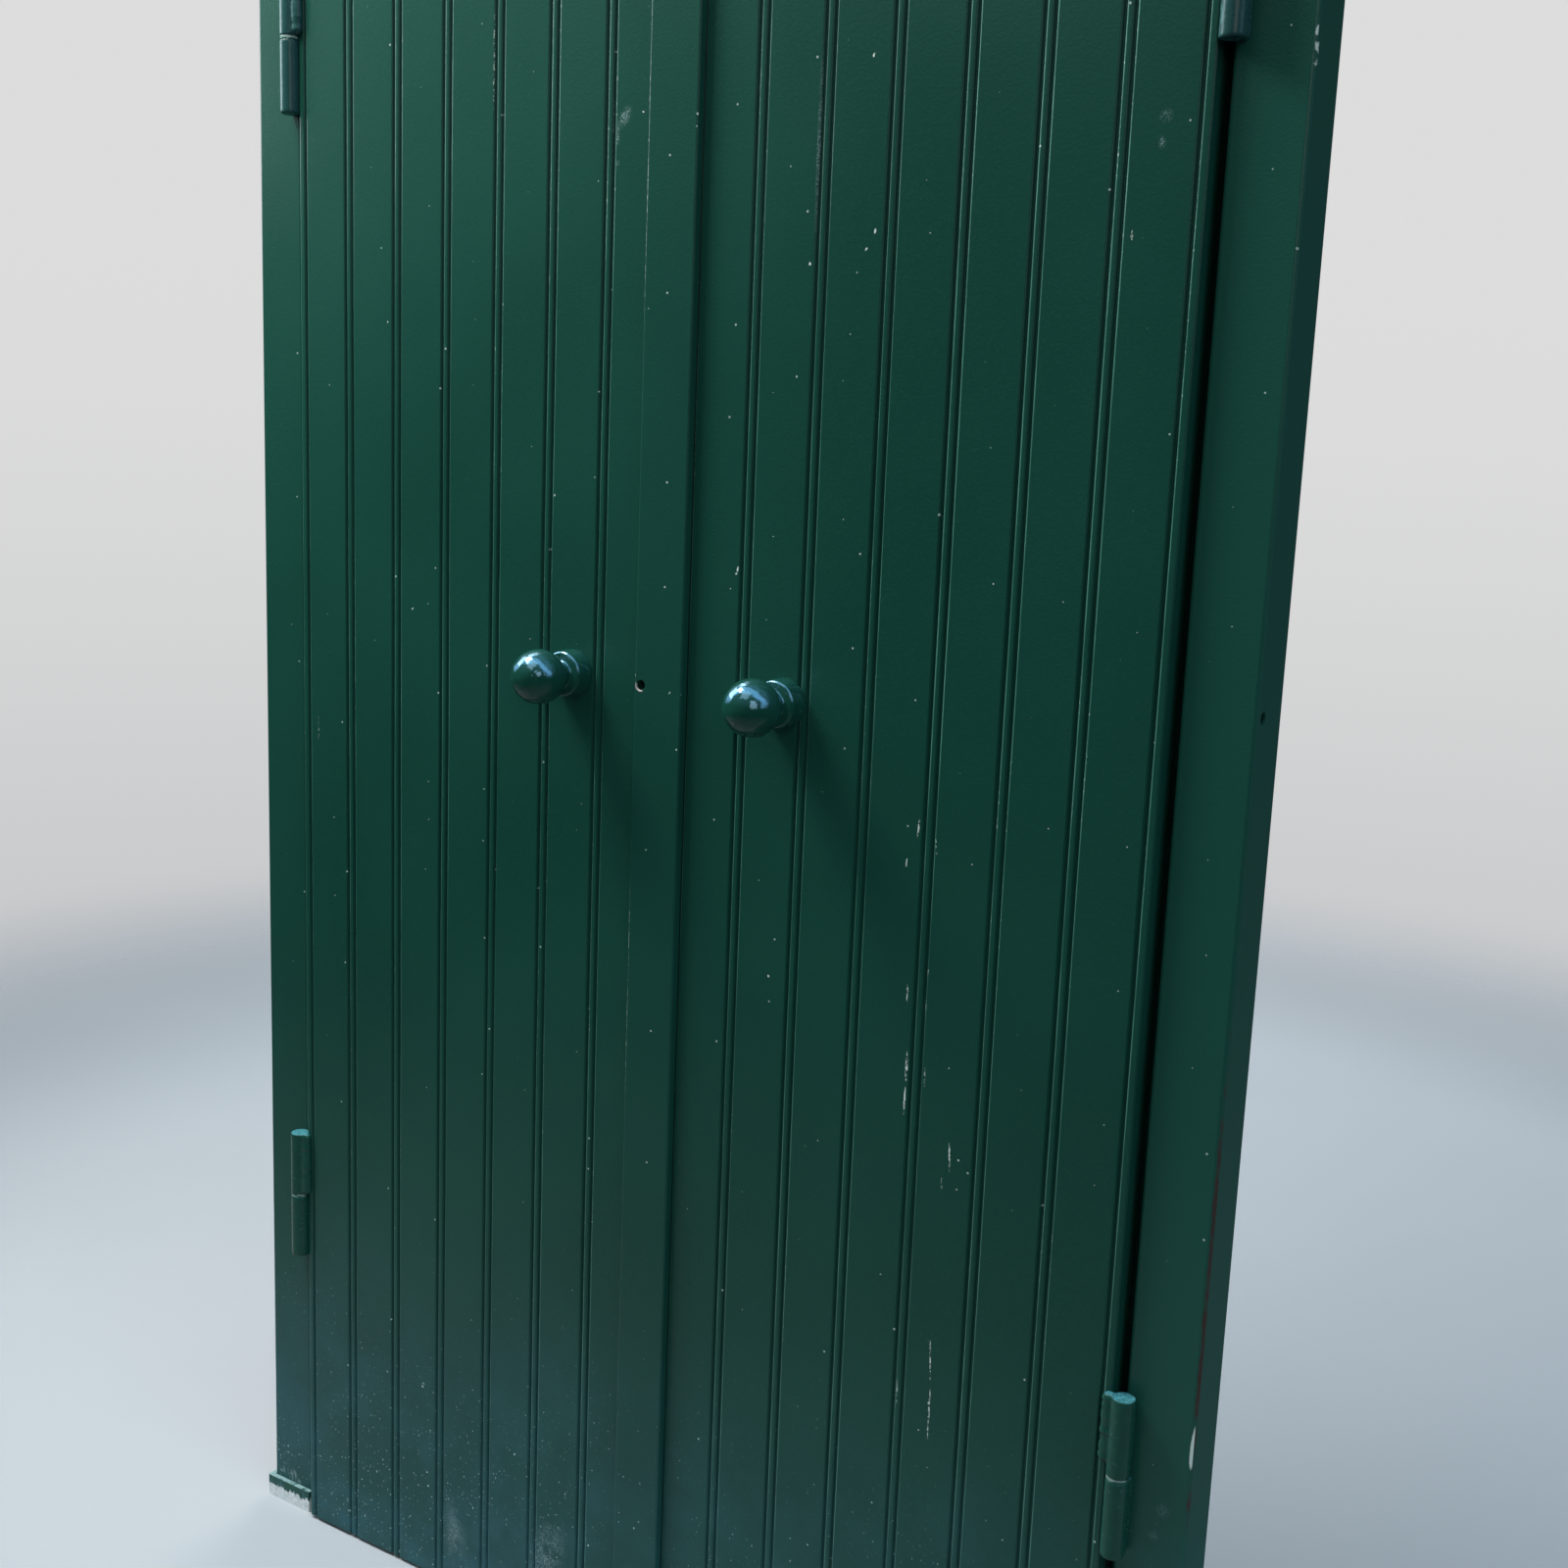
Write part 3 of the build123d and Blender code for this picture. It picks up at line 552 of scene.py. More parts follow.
# x, z, half width, half length in millimetres, turn in degrees
leaf_marks = {
    "chips": [
        (192.1, 1381.1, 0.9, 2.2, 12), (184.6, 1367.5, 0.7, 1.6, 40), (131.8, 1357.4, 1.0, 1.6, -20),
        (183.6, 1515.8, 0.8, 2.0, 15), (118.8, 747.4, 1.2, 1.4, 0), (-294.0, 216.8, 1.5, 0.8, 30),
        (-292.6, 220.6, 1.2, 0.7, 30), (-286.9, 120.0, 0.9, 0.9, 0), (-285.4, 104.5, 0.9, 1.1, 0),
        (-166.1, 183.4, 1.0, 0.9, 0), (-68.5, 118.0, 1.0, 0.9, 0), (-311.5, 1040.3, 0.6, 1.8, 50),
        (81.9, 437.2, 1.0, 1.3, 0), (70.9, 1103.5, 0.9, 2.8, 10), (69.6, 1099.6, 0.9, 1.3, 40),
        (64.3, 1086.2, 0.6, 0.7, 0), (301.1, 702.3, 0.6, 0.6, 0), (314.9, 624.0, 0.9, 0.8, 0),
        (300.4, 397.2, 0.9, 1.1, 0), (292.2, 369.2, 0.6, 0.6, 0), (-43.0, 1488.0, 1.1, 0.6, 0),
    ],
    "scratches": [
        (260.4, 902.2, 0.8, 10.5, 4), (250.8, 871.1, 0.7, 4.3, 2), (258.1, 760.7, 0.7, 9.9, 0),
        (275.3, 745.4, 0.8, 13.3, 3), (261.2, 694.8, 1.3, 14.6, 0), (260.9, 664.5, 0.8, 14.0, 1),
        (306.4, 624.5, 0.8, 14.1, -4), (299.6, 437.2, 0.6, 20.6, -3), (301.2, 388.0, 0.7, 26.8, 0),
    ],
    "flecks": [
        (277.5, 886.9, 1.1, 9.0, -6), (276.4, 780.0, 0.7, 3.4, 0), (278.9, 691.0, 0.7, 11.5, -2),
        (300.6, 598.8, 0.8, 7.4, -2), (269.0, 394.0, 1.1, 18.0, 0), (-137.3, 838.0, 0.8, 32.0, 0),
        (-75.0, 830.0, 0.8, 72.0, 0), (-75.4, 1480.0, 0.9, 46.0, 0), (-443.6, 904.0, 0.8, 16.0, 0),
        (-213.0, 1545.0, 0.7, 50.0, 0), (410.5, 1371.0, 1.0, 4.0, 0),
    ],
    "rubs": [
        (-63.0, 1485.0, 7.0, 13.0, 32), (-70.5, 1470.0, 3.0, 12.0, 0), (136.0, 1450.0, 2.6, 95.0, 0),
        (-122.0, 84.0, 28.0, 60.0, 14), (-247.0, 62.0, 22.0, 52.0, -8), (430.0, 1453.0, 6.0, 8.0, 45),
        (428.0, 1436.0, 4.0, 6.0, -20), (-70.0, 1446.0, 3.0, 5.0, 0), (136.0, 130.0, 5.0, 18.0, 20),
    ],
}
strip_marks = {
    "chips": [(-31.0, 1002.0, 0.8, 1.4, 0), (8.0, 990.0, 0.6, 1.5, 35), (19.6, 1481.0, 0.8, 1.2, 0),
              (19.4, 1471.0, 0.6, 0.7, 0), (17.1, 939.7, 0.8, 0.8, 0)],
    "scratches": [],
    "flecks": [(-30.8, 700.0, 0.6, 120.0, 0), (-30.8, 1450.0, 0.6, 150.0, 0)],
    "rubs": [(20.0, 989.6, 1.2, 1.5, 0), (-15.0, 90.0, 14.0, 40.0, 10)],
}
frame_marks = {
    "rings": [(512, 368, 8, 8, 0), (506, 344, 6, 6, 0)],
    "scuffs": [(-512, 36, 16, 10, 10), (-500, 28, 10, 6, 0)],
    "chips": [(533, 1507, 2.2, 5, 20), (532.2, 431, 2.4, 21, 2)],
}


def marks_on(side):
    """The leaf marks at -1, the left, or 1, the right."""
    return {kind: [mark for mark in marks if mark[0] * side > 0] for kind, marks in leaf_marks.items()}


left_leaf_paint = gloss_paint("left leaf gloss paint", marks_on(-1), leaf_front, grooved=True)
right_leaf_paint = gloss_paint("right leaf gloss paint", marks_on(1), leaf_front, grooved=True)
strip_paint = gloss_paint("strip gloss paint", strip_marks, strip_front)
knob_paint = hand_paint("knob gloss paint")
tube_paint = gloss_paint("tube gloss paint")
frame_paint = frame_finish("frame gloss paint")
hinge_paint = weld_paint("thick paint over welds")
ring_finish = worn_washer("rubbed washer")
zinc_finish = zinc("zinc plating")
shoe_paint = shoe_finish("chalky shoe")


# Meshes

def placed(name, mesh, material=None):
    """A new object in the scene, at the origin."""
    thing = bpy.data.objects.new(name, mesh)
    bpy.context.scene.collection.objects.link(thing)
    if material:
        mesh.materials.clear()
        mesh.materials.append(material)
    return thing


def baked(thing):
    """Turns an object with modifiers into a plain mesh."""
    graph = bpy.context.evaluated_depsgraph_get()
    mesh = bpy.data.meshes.new_from_object(thing.evaluated_get(graph))
    thing.modifiers.clear()
    thing.data = mesh
    return thing


@contextmanager
def edited(mesh):
    """A mesh opened for editing, and written back afterwards."""
    work = bmesh.new()
    work.from_mesh(mesh)
    yield work
    work.to_mesh(mesh)
    work.free()


def merged(work):
    bmesh.ops.remove_doubles(work, verts=work.verts, dist=0.002 * MM)


def carved(thing, tool):
    """Cuts a closed object out of a thing, and removes it."""
    cut = thing.modifiers.new("cut", "BOOLEAN")
    cut.object = tool
    baked(thing)
    bpy.data.objects.remove(tool)


def softened(mesh, degrees):
    """Smooth faces, with edges over an angle kept sharp."""
    with edited(mesh) as work:
        for face in work.faces:
            face.smooth = True
        for edge in work.edges:
            sharp = len(edge.link_faces) != 2 or edge.calc_face_angle() > math.radians(degrees)
            edge.smooth = not sharp


def dressed(node, body, slot, material):
    """A merged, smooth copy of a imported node, with its own finish."""
    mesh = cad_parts[node].data.copy()
    with edited(mesh) as work:
        merged(work)
    copy = placed(f"{node}_dressed", mesh, material)
    softened(mesh, 40)
    finished(copy, body, slot, node)


def evened(thing):
    """Normals weighted by area, so that a flat face stays flat up to the small rounds beside it."""
    even = thing.modifiers.new("even", "WEIGHTED_NORMAL")
    even.keep_sharp = True
    baked(thing)


def finished(thing, body, slot, *nodes):
    evened(thing)
    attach(thing, body)
    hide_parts(*nodes)


def revolved(profile, segments):
    """A closed turned mesh about the Z axis from (radius, height) points, pole to pole or as a ring."""
    mesh = bpy.data.meshes.new("turned")
    turn = [2 * math.pi * k / segments for k in range(segments)]
    with edited(mesh) as work:
        rings = []
        for radius, height in profile:
            if radius < 1e-7:
                ring = [(0, 0, height)]
            else:
                ring = [(radius * math.cos(a), radius * math.sin(a), height) for a in turn]
            rings.append([work.verts.new(place) for place in ring])
        loops = list(zip(rings, rings[1:]))
        if len(rings[0]) > 1:
            loops.append((rings[-1], rings[0]))
        for low, high in loops:
            for k in range(segments):
                n = (k + 1) % segments
                ends = [(low, k), (low, n), (high, n), (high, k)]
                corners = dict.fromkeys(ring[at % len(ring)] for ring, at in ends)
                work.faces.new(list(corners))
        bmesh.ops.recalc_face_normals(work, faces=work.faces)
    return mesh


def arc(centre, radius, start, end, steps):
    """Points on an arc, in degrees, both ends included."""
    angles = [math.radians(start + (end - start) * k / steps) for k in range(steps + 1)]
    return [(centre[0] + radius * math.cos(a), centre[1] + radius * math.sin(a)) for a in angles]


# Pressed sheets

def rounded(points, radii, steps):
    """A line through corners, each replaced by an arc of its radius."""
    line = [points[0]]
    for before, corner, after, radius in zip(points, points[1:], points[2:], radii):
        corner = Vector(corner)
        back = (Vector(before) - corner).normalized()
        on = (Vector(after) - corner).normalized()
        half = back.angle(on) / 2
        reach = radius / math.tan(half)
        middle = corner + (back + on).normalized() * radius / math.sin(half)
        start = corner + back * reach - middle
        sweep = start.angle_signed(corner + on * reach - middle)
        for k in range(steps + 1):
            step = Matrix.Rotation(-sweep * k / steps, 2)
            line.append(tuple(middle + step @ start))
    line.append(points[-1])
    return line


def sheet_side(depth):
    """One side of the pressed sheet, from the hinged fold to the closing fold; depth 0 is its front."""
    centres = [groove_spacing]
    joint = board_pitch
    while joint + groove_spacing + 2 * groove_half < leaf_width:
        centres += [joint, joint + groove_spacing]
        joint += board_pitch
    slope = math.atan((groove_half - floor_half) / groove_depth)
    shift = depth * math.tan((math.pi / 2 - slope) / 2)
    corners = [(depth, return_depth), (depth, depth)]
    radii = [lip_r - depth]
    for centre in centres:
        corners += [
            (centre - groove_half - shift, depth),
            (centre - floor_half - shift, groove_depth + depth),
            (centre + floor_half + shift, groove_depth + depth),
            (centre + groove_half + shift, depth),
        ]
        radii += [lip_r - depth, floor_r + depth, floor_r + depth, lip_r - depth]
    corners += [(leaf_width - depth, depth), (leaf_width - depth, return_depth)]
    radii.append(lip_r - depth)
    return rounded(corners, radii, 4)


def sheet_tree():
    """Sweeps the sheet's profile up the leaf, then lets its grooves wander and its face bow."""
    sockets = {"Profile": "Geometry", "Foot": "Float", "Head": "Float", "Rows": "Int",
               "Wander": "Float", "Bow": "Float", "Seed": "Float", "Paint": "Material"}
    nodes = Shaper("pressed sheet", sockets, "Sheet")
    given = nodes.given
    ends = {"Start": nodes.joined(Z=given["Foot"]), "End": nodes.joined(Z=given["Head"])}
    rail = nodes.add("GeometryNodeCurvePrimitiveLine", {}, ends)
    rail = nodes.add("GeometryNodeResampleCurve", {}, {"Curve": rail, "Count": given["Rows"]})
    outline = nodes.add("GeometryNodeMeshToCurve", {}, {"Mesh": given["Profile"]})
    values = {"Curve": rail, "Profile Curve": outline, "Fill Caps": True}
    swept = nodes.add("GeometryNodeCurveToMesh", {}, values)
    place = nodes.add("GeometryNodeInputPosition", {}, {})
    along = nodes.vector("MULTIPLY", place, (9.0, 0.0, 2.6))
    values = {"Vector": along, "W": given["Seed"], "Scale": 1.0, "Detail": 2.0}
    drift = nodes.add("ShaderNodeTexNoise", {"noise_dimensions": "4D"}, values)
    values = {"Vector": along, "W": given["Seed"] + 7.0, "Scale": 0.7, "Detail": 1.0}
    swell = nodes.add("ShaderNodeTexNoise", {"noise_dimensions": "4D"}, values)
    across = nodes.part(place, "X")
    inside = across.ramp(0.0, 20 * MM) * across.ramp(leaf_width, leaf_width - 20 * MM)
    sideways = (drift - 0.5) * given["Wander"] * inside
    bowed = (swell - 0.5) * given["Bow"] * inside
    values = {"Geometry": swept, "Offset": nodes.joined(X=sideways, Y=bowed)}
    return nodes.painted(nodes.add("GeometryNodeSetPosition", {}, values))


def given_tree(thing, tree, inputs):
    """A Geometry Nodes modifier with its inputs set by the sockets' identifiers."""
    modifier = thing.modifiers.new(tree.name, "NODES")
    modifier.node_group = tree
    for item in tree.interface.items_tree:
        if item.in_out == "INPUT" and item.name in inputs:
            modifier[item.identifier] = inputs[item.name]


def drilled(thing, radius, x, z, start, end):
    """A round hole along Y."""
    mesh = revolved([(0, start), (radius, start), (radius, end), (0, end)], 48)
    mesh.transform(Matrix.Translation((x, 0, z)) @ inwards)
    carved(thing, placed("drill", mesh))


def pressed_sheet(name, tree, seed, paint, mirrored):
    outline = sheet_side(sheet) + sheet_side(0.0)[::-1]
    corners = [(x, y, 0.0) for x, y in outline]
    count = len(corners)
    mesh = bpy.data.meshes.new(name)
    mesh.from_pydata(corners, [(k, (k + 1) % count) for k in range(count)], [])
    thing = placed(name, mesh)
    inputs = {"Foot": leaf_low, "Head": leaf_high, "Rows": 90, "Wander": 1.6 * MM, "Bow": 1.1 * MM,
              "Seed": seed, "Paint": paint}
    given_tree(thing, tree, inputs)
    baked(thing)
    place = Matrix.Translation((-leaf_outer, leaf_front, 0))
    if mirrored:
        place = mirror @ place
    thing.data.transform(place)
    with edited(thing.data) as work:
        bmesh.ops.recalc_face_normals(work, faces=work.faces)
    return thing


sheet_maker = sheet_tree()
left_sheet = pressed_sheet("left_pressed_sheet", sheet_maker, 3.0, left_leaf_paint, False)
drilled(left_sheet, key_r, key_x, key_z, leaf_front - 5 * MM, leaf_back)
right_sheet = pressed_sheet("right_pressed_sheet", sheet_maker, 11.0, right_leaf_paint, True)
for piece in (left_sheet, right_sheet):
    softened(piece.data, 50)
finished(left_sheet, "leaf_left", "leaf_paint", "leaf_left_skin")
finished(right_sheet, "leaf_right", "leaf_paint", "leaf_right_skin")


# Cover strip

def cover_strip():
    """Flat bar with soft front edges and a key hole whose paint has rounded its lip."""
    turn = strip_edge_r
    outline = [(strip_left, leaf_front)]
    outline += arc((strip_left + turn, strip_front + turn), turn, 180, 270, 5)
    outline += arc((strip_right - turn, strip_front + turn), turn, 270, 360, 5)
    outline += [(strip_right, leaf_front)]
    count = len(outline)
    rows = 120
    mesh = bpy.data.meshes.new("cover_bar")
    with edited(mesh) as work:
        rings = []
        for row in range(rows + 1):
            z = leaf_low + (leaf_high - leaf_low) * row / rows
            stray = strip_stray if 0 < row < rows else 0
            ring = [(x + stray * noise.noise(Vector((x * 30, 3.7, z * 9))), y, z) for x, y in outline]
            rings.append([work.verts.new(place) for place in ring])
        for low, high in zip(rings, rings[1:]):
            for k in range(count):
                n = (k + 1) % count
                work.faces.new([low[k], low[n], high[n], high[k]])
        work.faces.new(rings[0][::-1])
        work.faces.new(rings[-1])
        bmesh.ops.recalc_face_normals(work, faces=work.faces)
    bar = placed("cover_bar", mesh, strip_paint)
    flare = [(0, -1 * MM), (key_r + key_lip, -1 * MM), (key_r + key_lip, 0)]
    flare += arc((key_r + key_lip, key_lip), key_lip, -90, -180, 6)
    flare += [(key_r, 20 * MM), (0, 20 * MM)]
    drill = revolved(flare, 64)
    drill.transform(Matrix.Translation((key_x, strip_front, key_z)) @ inwards)
    carved(bar, placed("flared_drill", drill))
    softened(bar.data, 40)
    finished(bar, "leaf_left", "leaf_paint", "cover_strip")


cover_strip()


# Knobs

def knob(name, at, body, seed):
    """Turned ball, neck and rose under thick hand-brushed paint."""
    profile = [(0, 0), (rose_foot_r - rose_foot_edge, 0), (rose_foot_r, rose_foot_edge)]
    rim = rose_height - rose_edge_r
    profile += [(rose_foot_r + (rose_rim_r - rose_foot_r) * k / 8, rim * k / 8) for k in range(1, 8)]
    profile += arc((rose_rim_r - rose_edge_r, rim), rose_edge_r, 0, 90, 8)
    profile += [(neck_r + 3.0 * MM, rose_height - 0.1 * MM)]
    profile += arc((neck_r + neck_fillet, rose_height + neck_fillet), neck_fillet, -90, -180, 4)
    start = math.degrees(math.asin(-math.sqrt(ball_r ** 2 - neck_r ** 2) / ball_r))
    profile += arc((0, ball_reach), ball_r, start + 3, 90, 40)[:-1]
    profile += [(0, ball_reach + ball_r)]
    mesh = revolved(profile, 96)
    for vertex in mesh.vertices:
        if vertex.co.z > 1 * MM:
            at_mm = vertex.co / MM
            lump = noise.noise(at_mm / 17 + Vector((seed, 0, 0)))
            lump += 0.75 * noise.noise(at_mm / 7 + Vector((0, seed, 0)))
            away = (vertex.co - Vector((0, 0, min(vertex.co.z, ball_reach)))).normalized()
            vertex.co += away * lump * knob_lumps
    mesh.transform(Matrix.Translation(at) @ outwards)
    thing = placed(f"{name}_painted", mesh, knob_paint)
    softened(mesh, 60)
    finished(thing, body, "knob_paint", name)


knob("knob_left", knob_left_at, "leaf_left", 2.3)
knob("knob_right", knob_right_at, "leaf_right", 5.9)


# Hinges

def ripple_tree():
    """Weld bead: overlapping drops along a line, each a little off in place and size."""
    sockets = {"Barrel": "Geometry", "Start": "Vector", "End": "Vector", "Count": "Int",
               "Drop": "Vector", "Scatter": "Float", "Seed": "Int", "Paint": "Material"}
    nodes = Shaper("weld ripples", sockets, "Hinge half")
    given = nodes.given
    values = {"Count": given["Count"], "Start Location": given["Start"], "Offset": given["End"]}
    line = nodes.add("GeometryNodeMeshLine", {"mode": "END_POINTS"}, values)
    spread = given["Scatter"]
    back = -1.0 * spread
    values = {0: nodes.joined(X=back, Y=back, Z=back), 1: nodes.joined(X=spread, Y=spread, Z=spread),
              "Seed": given["Seed"]}
    stray = nodes.add("FunctionNodeRandomValue", {"data_type": "FLOAT_VECTOR"}, values)
    points = nodes.add("GeometryNodeSetPosition", {}, {"Geometry": line, "Offset": stray})
    ball = nodes.add("GeometryNodeMeshIcoSphere", {}, {"Radius": 1.0, "Subdivisions": 3})
    values = {2: 0.90, 3: 1.10, "Seed": given["Seed"]}
    size = nodes.add("FunctionNodeRandomValue", {"data_type": "FLOAT"}, values, 1)
    drop = nodes.add("ShaderNodeVectorMath", {"operation": "SCALE"}, {0: given["Drop"], "Scale": size})
    values = {"Points": points, "Instance": ball, "Scale": drop}
    drops = nodes.add("GeometryNodeInstanceOnPoints", {}, values)
    real = nodes.add("GeometryNodeRealizeInstances", {}, {"Geometry": drops})
    both = nodes.add("GeometryNodeJoinGeometry", {}, {0: real})
    nodes.tree.links.new(given["Barrel"].socket, both.socket.node.inputs[0])
    return nodes.painted(both)


def hinge_half(node, body, tree, low, on_leaf, mirrored, seed):
    """Barrel and its weld, run together under paint."""
    high = low + barrel_length
    edge = barrel_edge
    rim = barrel_r - edge
    ring = [(bore_r, low), (rim, low)] + arc((rim, low + edge), edge, -90, 0, 3)
    ring += arc((rim, high - edge), edge, 0, 90, 3) + [(rim, high), (bore_r, high)]
    if on_leaf:
        stop = high - bore_stop
        ring = [(0, stop), (bore_r, stop), (bore_r, low), *ring[1:], (0, high)]
        line = (-hinge_x + barrel_r + 1.4 * MM, leaf_front - 2.4 * MM)
        drop = (6.3 * MM, 4.9 * MM, 5.2 * MM)
        start = low + (15 * MM if mirrored else 6 * MM)
    else:
        stop = low + bore_stop
        ring = [(0, low), *ring[1:], (bore_r, stop), (0, stop)]
        line = (-hinge_x - 0.62 * barrel_r, frame_front - 2.6 * MM)
        drop = (3.9 * MM, 3.9 * MM, 3.4 * MM)
        start = low + weld_inset
    mesh = revolved(ring, 64)
    mesh.transform(Matrix.Translation((-hinge_x, hinge_y, 0)))
    thing = placed(f"{node}_welded", mesh)
    inputs = {
        "Start": (*line, start), "End": (*line, high - weld_inset), "Count": 17,
        "Drop": drop, "Scatter": 0.28 * MM, "Seed": seed, "Paint": hinge_paint,
    }
    given_tree(thing, tree, inputs)
    skin = thing.modifiers.new("run together", "REMESH")
    skin.mode = "VOXEL"
    skin.voxel_size = 0.75 * MM
    flow = thing.modifiers.new("paint flow", "SMOOTH")
    flow.factor = 0.5
    flow.iterations = 18
    baked(thing)
    if mirrored:
        thing.data.transform(mirror)
        thing.data.flip_normals()
    thing.data.materials.clear()
    thing.data.materials.append(hinge_paint)
    softened(thing.data, 75)
    finished(thing, body, "hinge_paint", node)


ripples = ripple_tree()
for number, (hinge, height) in enumerate(hinge_heights.items()):
    on_right = hinge.endswith("right")
    leaf_body = "leaf_right" if on_right else "leaf_left"
    upper = height + washer / 2
    lower = height - washer / 2 - barrel_length
    hinge_half(f"{hinge}_leaf_barrel", leaf_body, ripples, upper, True, on_right, 10 + number)
    hinge_half(f"{hinge}_frame_barrel", "frame", ripples, lower, False, on_right, 20 + number)
    dressed(f"{hinge}_washer", "frame", "brass_washer", ring_finish)
    dressed(f"{hinge}_pin", "frame", "hinge_steel", zinc_finish)


# Screws of the fittings

def screw_tree():
    """Screws on points, each driven to its own turn."""
    sockets = {"Places": "Geometry", "Screw": "Object", "Seed": "Int", "Paint": "Material"}
    nodes = Shaper("driven screws", sockets, "Screws")
    given = nodes.given
    shape = nodes.add("GeometryNodeObjectInfo", {}, {"Object": given["Screw"]}, "Geometry")
    values = {3: math.pi, "Seed": given["Seed"]}
    turn = nodes.add("FunctionNodeRandomValue", {"data_type": "FLOAT"}, values, 1)
    values = {"Points": given["Places"], "Instance": shape, "Rotation": nodes.joined(Y=turn)}
    return nodes.painted(nodes.add("GeometryNodeInstanceOnPoints", {}, values))


def slotted_screw():
    """Pan-head screw along +Y, with its seat at 0 and a slot in its domed head."""
    shank = [(0, -9), (2.5, -9), (2.5, 0)]
    head = [(4.5, 0), (4.5, 1.3), (4.2, 2.1), (3.4, 2.7), (1.8, 3.0), (0, 3.0)]
    profile = [(radius * MM, height * MM) for radius, height in shank + head]
    shape = placed("slotted_screw", revolved(profile, 24))
    slot = bpy.data.meshes.new("slot")
    with edited(slot) as work:
        bmesh.ops.create_cube(work, size=1.0)
    size = Matrix.Diagonal((12 * MM, 1.1 * MM, 2.4 * MM, 1))
    slot.transform(Matrix.Translation((0, 0, 2.6 * MM)) @ size)
    carved(shape, placed("slot", slot))
    shape.data.transform(inwards)
    return shape


def screw_places(node, seat):
    """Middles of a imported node's loose pieces, in X and Z, on the face they are driven into."""
    work = bmesh.new()
    work.from_mesh(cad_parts[node].data)
    merged(work)
    left = set(work.verts)
    places = []
    while left:
        piece = {left.pop()}
        front = list(piece)
        while front:
            vertex = front.pop()
            near = [edge.other_vert(vertex) for edge in vertex.link_edges]
            new = [other for other in near if other in left]
            left.difference_update(new)
            piece.update(new)
            front += new
        x = [vertex.co.x for vertex in piece]
        z = [vertex.co.z for vertex in piece]
        places.append(((min(x) + max(x)) / 2, seat, (min(z) + max(z)) / 2))
    work.free()
    return sorted(places)


def screws(node, body, seat, seed):
    mesh = bpy.data.meshes.new(node)
    mesh.from_pydata(screw_places(node, seat), [], [])
    thing = placed(f"{node}_driven", mesh)
    given_tree(thing, driver, {"Screw": screw_shape, "Seed": seed, "Paint": zinc_finish})
    baked(thing)
    softened(thing.data, 35)
    finished(thing, body, "zinc_fittings", node)


driver = screw_tree()
screw_shape = slotted_screw()
screws("lock_screws", "leaf_left", leaf_back + 2 * MM, 4)
screws("keeper_screws", "leaf_right", leaf_back + 2 * MM, 9)
screws("slide_bolt_screws", "leaf_right", leaf_back + 3 * MM, 14)
bpy.data.objects.remove(screw_shape)


# Frame, tubes and fittings

stiles_and_rails = ("hinge_stile", "closing_stile", "top_rail", "middle_rail", "bottom_rail")
as_packed = [
    ("frame", "frame_paint", frame_paint, ["jamb_left", "jamb_right", "head_rail"]),
    ("frame", "frame_paint", shoe_paint, ["foot_left", "foot_right"]),
    ("frame", "frame_paint", tube_paint, ["sill_bar", "stop_head", "stop_left", "stop_right"]),
    ("leaf_left", "leaf_paint", tube_paint, [f"leaf_left_{tube}" for tube in stiles_and_rails]),
    ("leaf_left", "zinc_fittings", zinc_finish, ["knob_left_screw"]),
    ("leaf_right", "leaf_paint", tube_paint, [f"leaf_right_{tube}" for tube in stiles_and_rails]),
    ("leaf_right", "zinc_fittings", zinc_finish, ["knob_right_screw"]),
    ("leaf_left", "zinc_fittings", zinc_finish, ["lock_case", "lock_cover"]),
    ("leaf_right", "zinc_fittings", zinc_finish,
     ["keeper", "slide_bolt_top_plate", "slide_bolt_bottom_plate"]),
    ("lock_bolt", "zinc_fittings", zinc_finish, ["lock_bolt"]),
    ("slide_bolt_top", "zinc_fittings", zinc_finish, ["slide_bolt_top_rod"]),
    ("slide_bolt_bottom", "zinc_fittings", zinc_finish, ["slide_bolt_bottom_rod"]),
]
for body, slot, material, nodes in as_packed:
    for node in nodes:
        dressed(node, body, slot, material)


# Floor, light and camera

def soft_floor():
    """Plain pale floor that fades out before it ends."""
    middle = (-0.2, 0.9, 0)
    radius = 3.2
    mesh = revolved([(0, -2 * MM), (radius, -2 * MM), (radius, 0), (0, 0)], 96)
    mesh.transform(Matrix.Translation(middle))
    paint = Paint("pale floor")
    out = paint.vector("DISTANCE", paint.place, middle, output="Value")
    tone = paint.blend(paint.cloud(2.0, 3.0), floor_grey, floor_light)
    values = {"Base Color": tone, "Roughness": 0.9, "IOR": 1.1, "Alpha": out.ramp(3.1, 1.3)}
    paint.output(paint.add("ShaderNodeBsdfPrincipled", {}, values))
    placed("floor", mesh, paint.material)


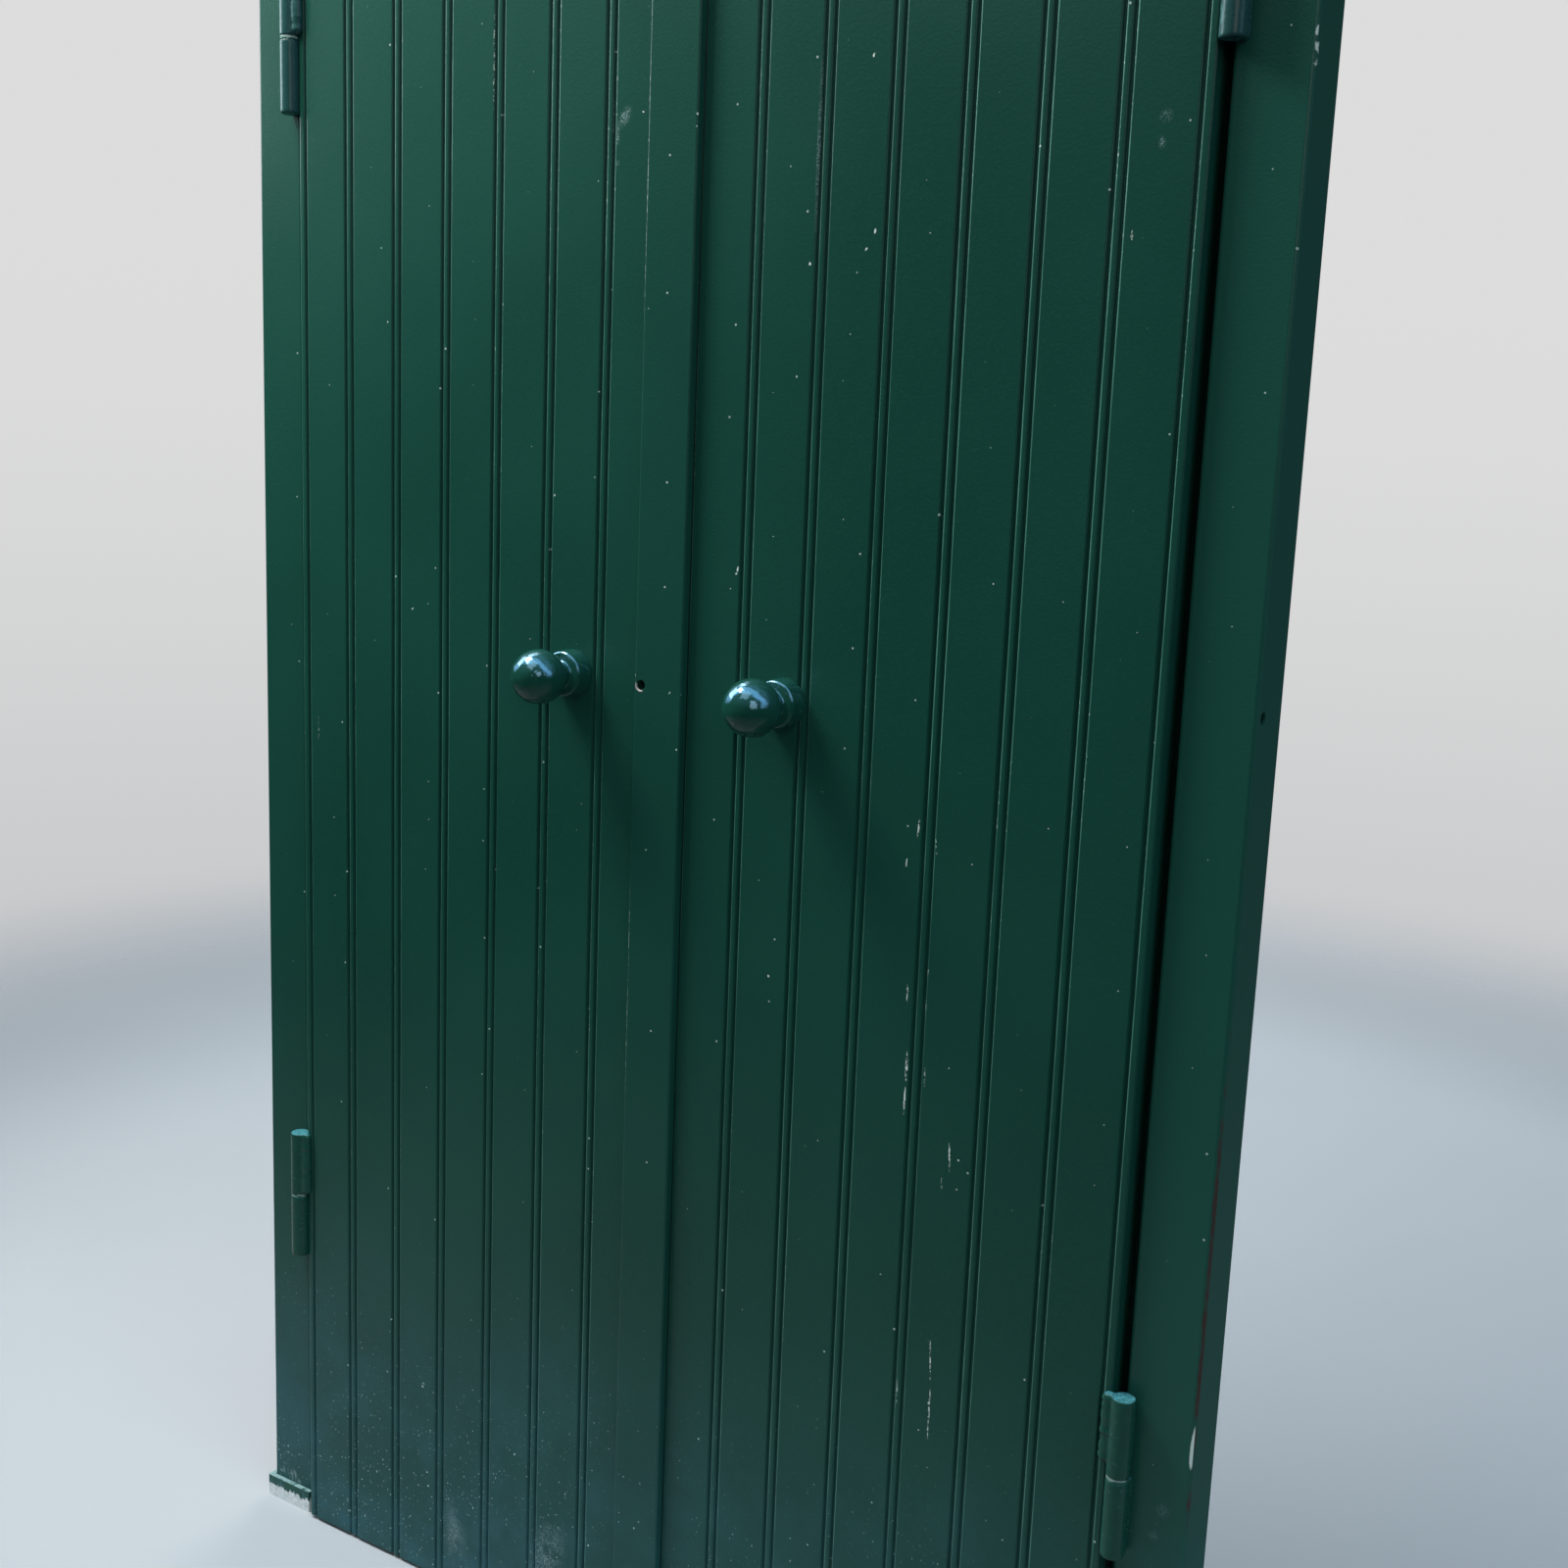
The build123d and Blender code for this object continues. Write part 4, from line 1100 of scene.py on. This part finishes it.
def soft_sky():
    """Plain pale surroundings, lit by a band of sky over the street, as between two rows of houses."""
    world = bpy.data.worlds.new("studio")
    bpy.context.scene.world = world
    world.use_nodes = True
    nodes = Nodes(world.node_tree)
    way = nodes.add("ShaderNodeTexCoord", {}, {}, "Generated")
    rise = nodes.part(way, "Z")
    band = nodes.vector("DOT_PRODUCT", way, (0.0, 0.97, 0.26), output="Value")
    band = band.size().ramp(0.30, 0.12) * rise.ramp(0.02, 0.30)
    sky = nodes.blend(rise.ramp(-0.02, 0.7), sky_low, sky_high)
    sky = nodes.blend(band, sky, sky_band)
    seen = nodes.add("ShaderNodeLightPath", {}, {}, "Is Camera Ray")
    plain = nodes.blend(rise.ramp(-0.45, 0.1), ground_seen, sky_seen)
    colour = nodes.blend(seen, sky, plain)
    light = nodes.add("ShaderNodeBackground", {}, {"Color": colour, "Strength": 1.0})
    nodes.add("ShaderNodeOutputWorld", {}, {"Surface": light})


def soft_light(name, at, towards, side, power, colour):
    """Square panel of light."""
    lamp = bpy.data.lights.new(name, "AREA")
    lamp.shape = "RECTANGLE"
    lamp.size = side
    lamp.size_y = side
    lamp.energy = power
    lamp.color = colour
    thing = bpy.data.objects.new(name, lamp)
    thing.location = at
    thing.rotation_euler = (Vector(towards) - Vector(at)).to_track_quat("-Z", "Y").to_euler()
    bpy.context.scene.collection.objects.link(thing)


def photo_camera():
    """Eye height, to the right of the shutters, turned left, a little down and tipped."""
    level = Vector((math.cos(heading), math.sin(heading), 0))
    onward = (-math.sin(heading) * math.cos(dip), math.cos(heading) * math.cos(dip))
    ahead = Vector((*onward, -math.sin(dip)))
    over = level.cross(ahead)
    right = math.cos(tip) * level + math.sin(tip) * over
    up = math.cos(tip) * over - math.sin(tip) * level
    lens = bpy.data.cameras.new("camera")
    lens.lens = focal_length
    lens.sensor_width = film_width
    eye = bpy.data.objects.new("camera", lens)
    turn = Matrix((right, up, -ahead)).transposed().to_4x4()
    eye.matrix_world = Matrix.Translation(eye_at) @ turn
    bpy.context.scene.collection.objects.link(eye)
    bpy.context.scene.camera = eye


floor_grey = (0.425, 0.42, 0.42, 1)
floor_light = (0.45, 0.445, 0.445, 1)
sky_low = (0.010, 0.012, 0.012, 1)
sky_high = (0.13, 0.15, 0.16, 1)
sky_band = (1.3, 1.95, 2.5, 1)
ground_seen = (0.52, 0.53, 0.545, 1)
sky_seen = (0.72, 0.72, 0.72, 1)

# Angles in radians, from a fit to the photo
heading = 0.55703
dip = 0.17811
tip = 0.04034
focal_length = 40.68
film_width = 36
eye_at = (926.6 * MM, -1331.3 * MM, 1194.0 * MM)

# Place, aim, side in metres, power in watts and colour
panels = {
    "upper left panel": ((-0.95, -0.50, 2.55), (-0.45, 0.0, 1.8), 0.6, 45, (1.0, 1.0, 0.98)),
    "front panel": ((-0.3, -1.5, 2.9), (0.0, 0.0, 1.4), 1.4, 9, (1.0, 0.98, 0.95)),
    "left panel": ((-1.6, -0.35, 2.0), (-0.3, 0.0, 1.4), 0.8, 12, (0.92, 0.98, 1.0)),
    "right panel": ((2.8, -3.4, 2.6), (0.0, 0.0, 0.9), 2.0, 28, (1.0, 1.0, 0.97)),
    "back panel": ((-1.2, 3.6, 2.8), (0.0, 0.0, 1.0), 2.4, 80, (1.0, 1.0, 1.0)),
}

soft_floor()
soft_sky()
for name, panel in panels.items():
    soft_light(name, *panel)
photo_camera()
bpy.context.scene.view_settings.view_transform = "Standard"
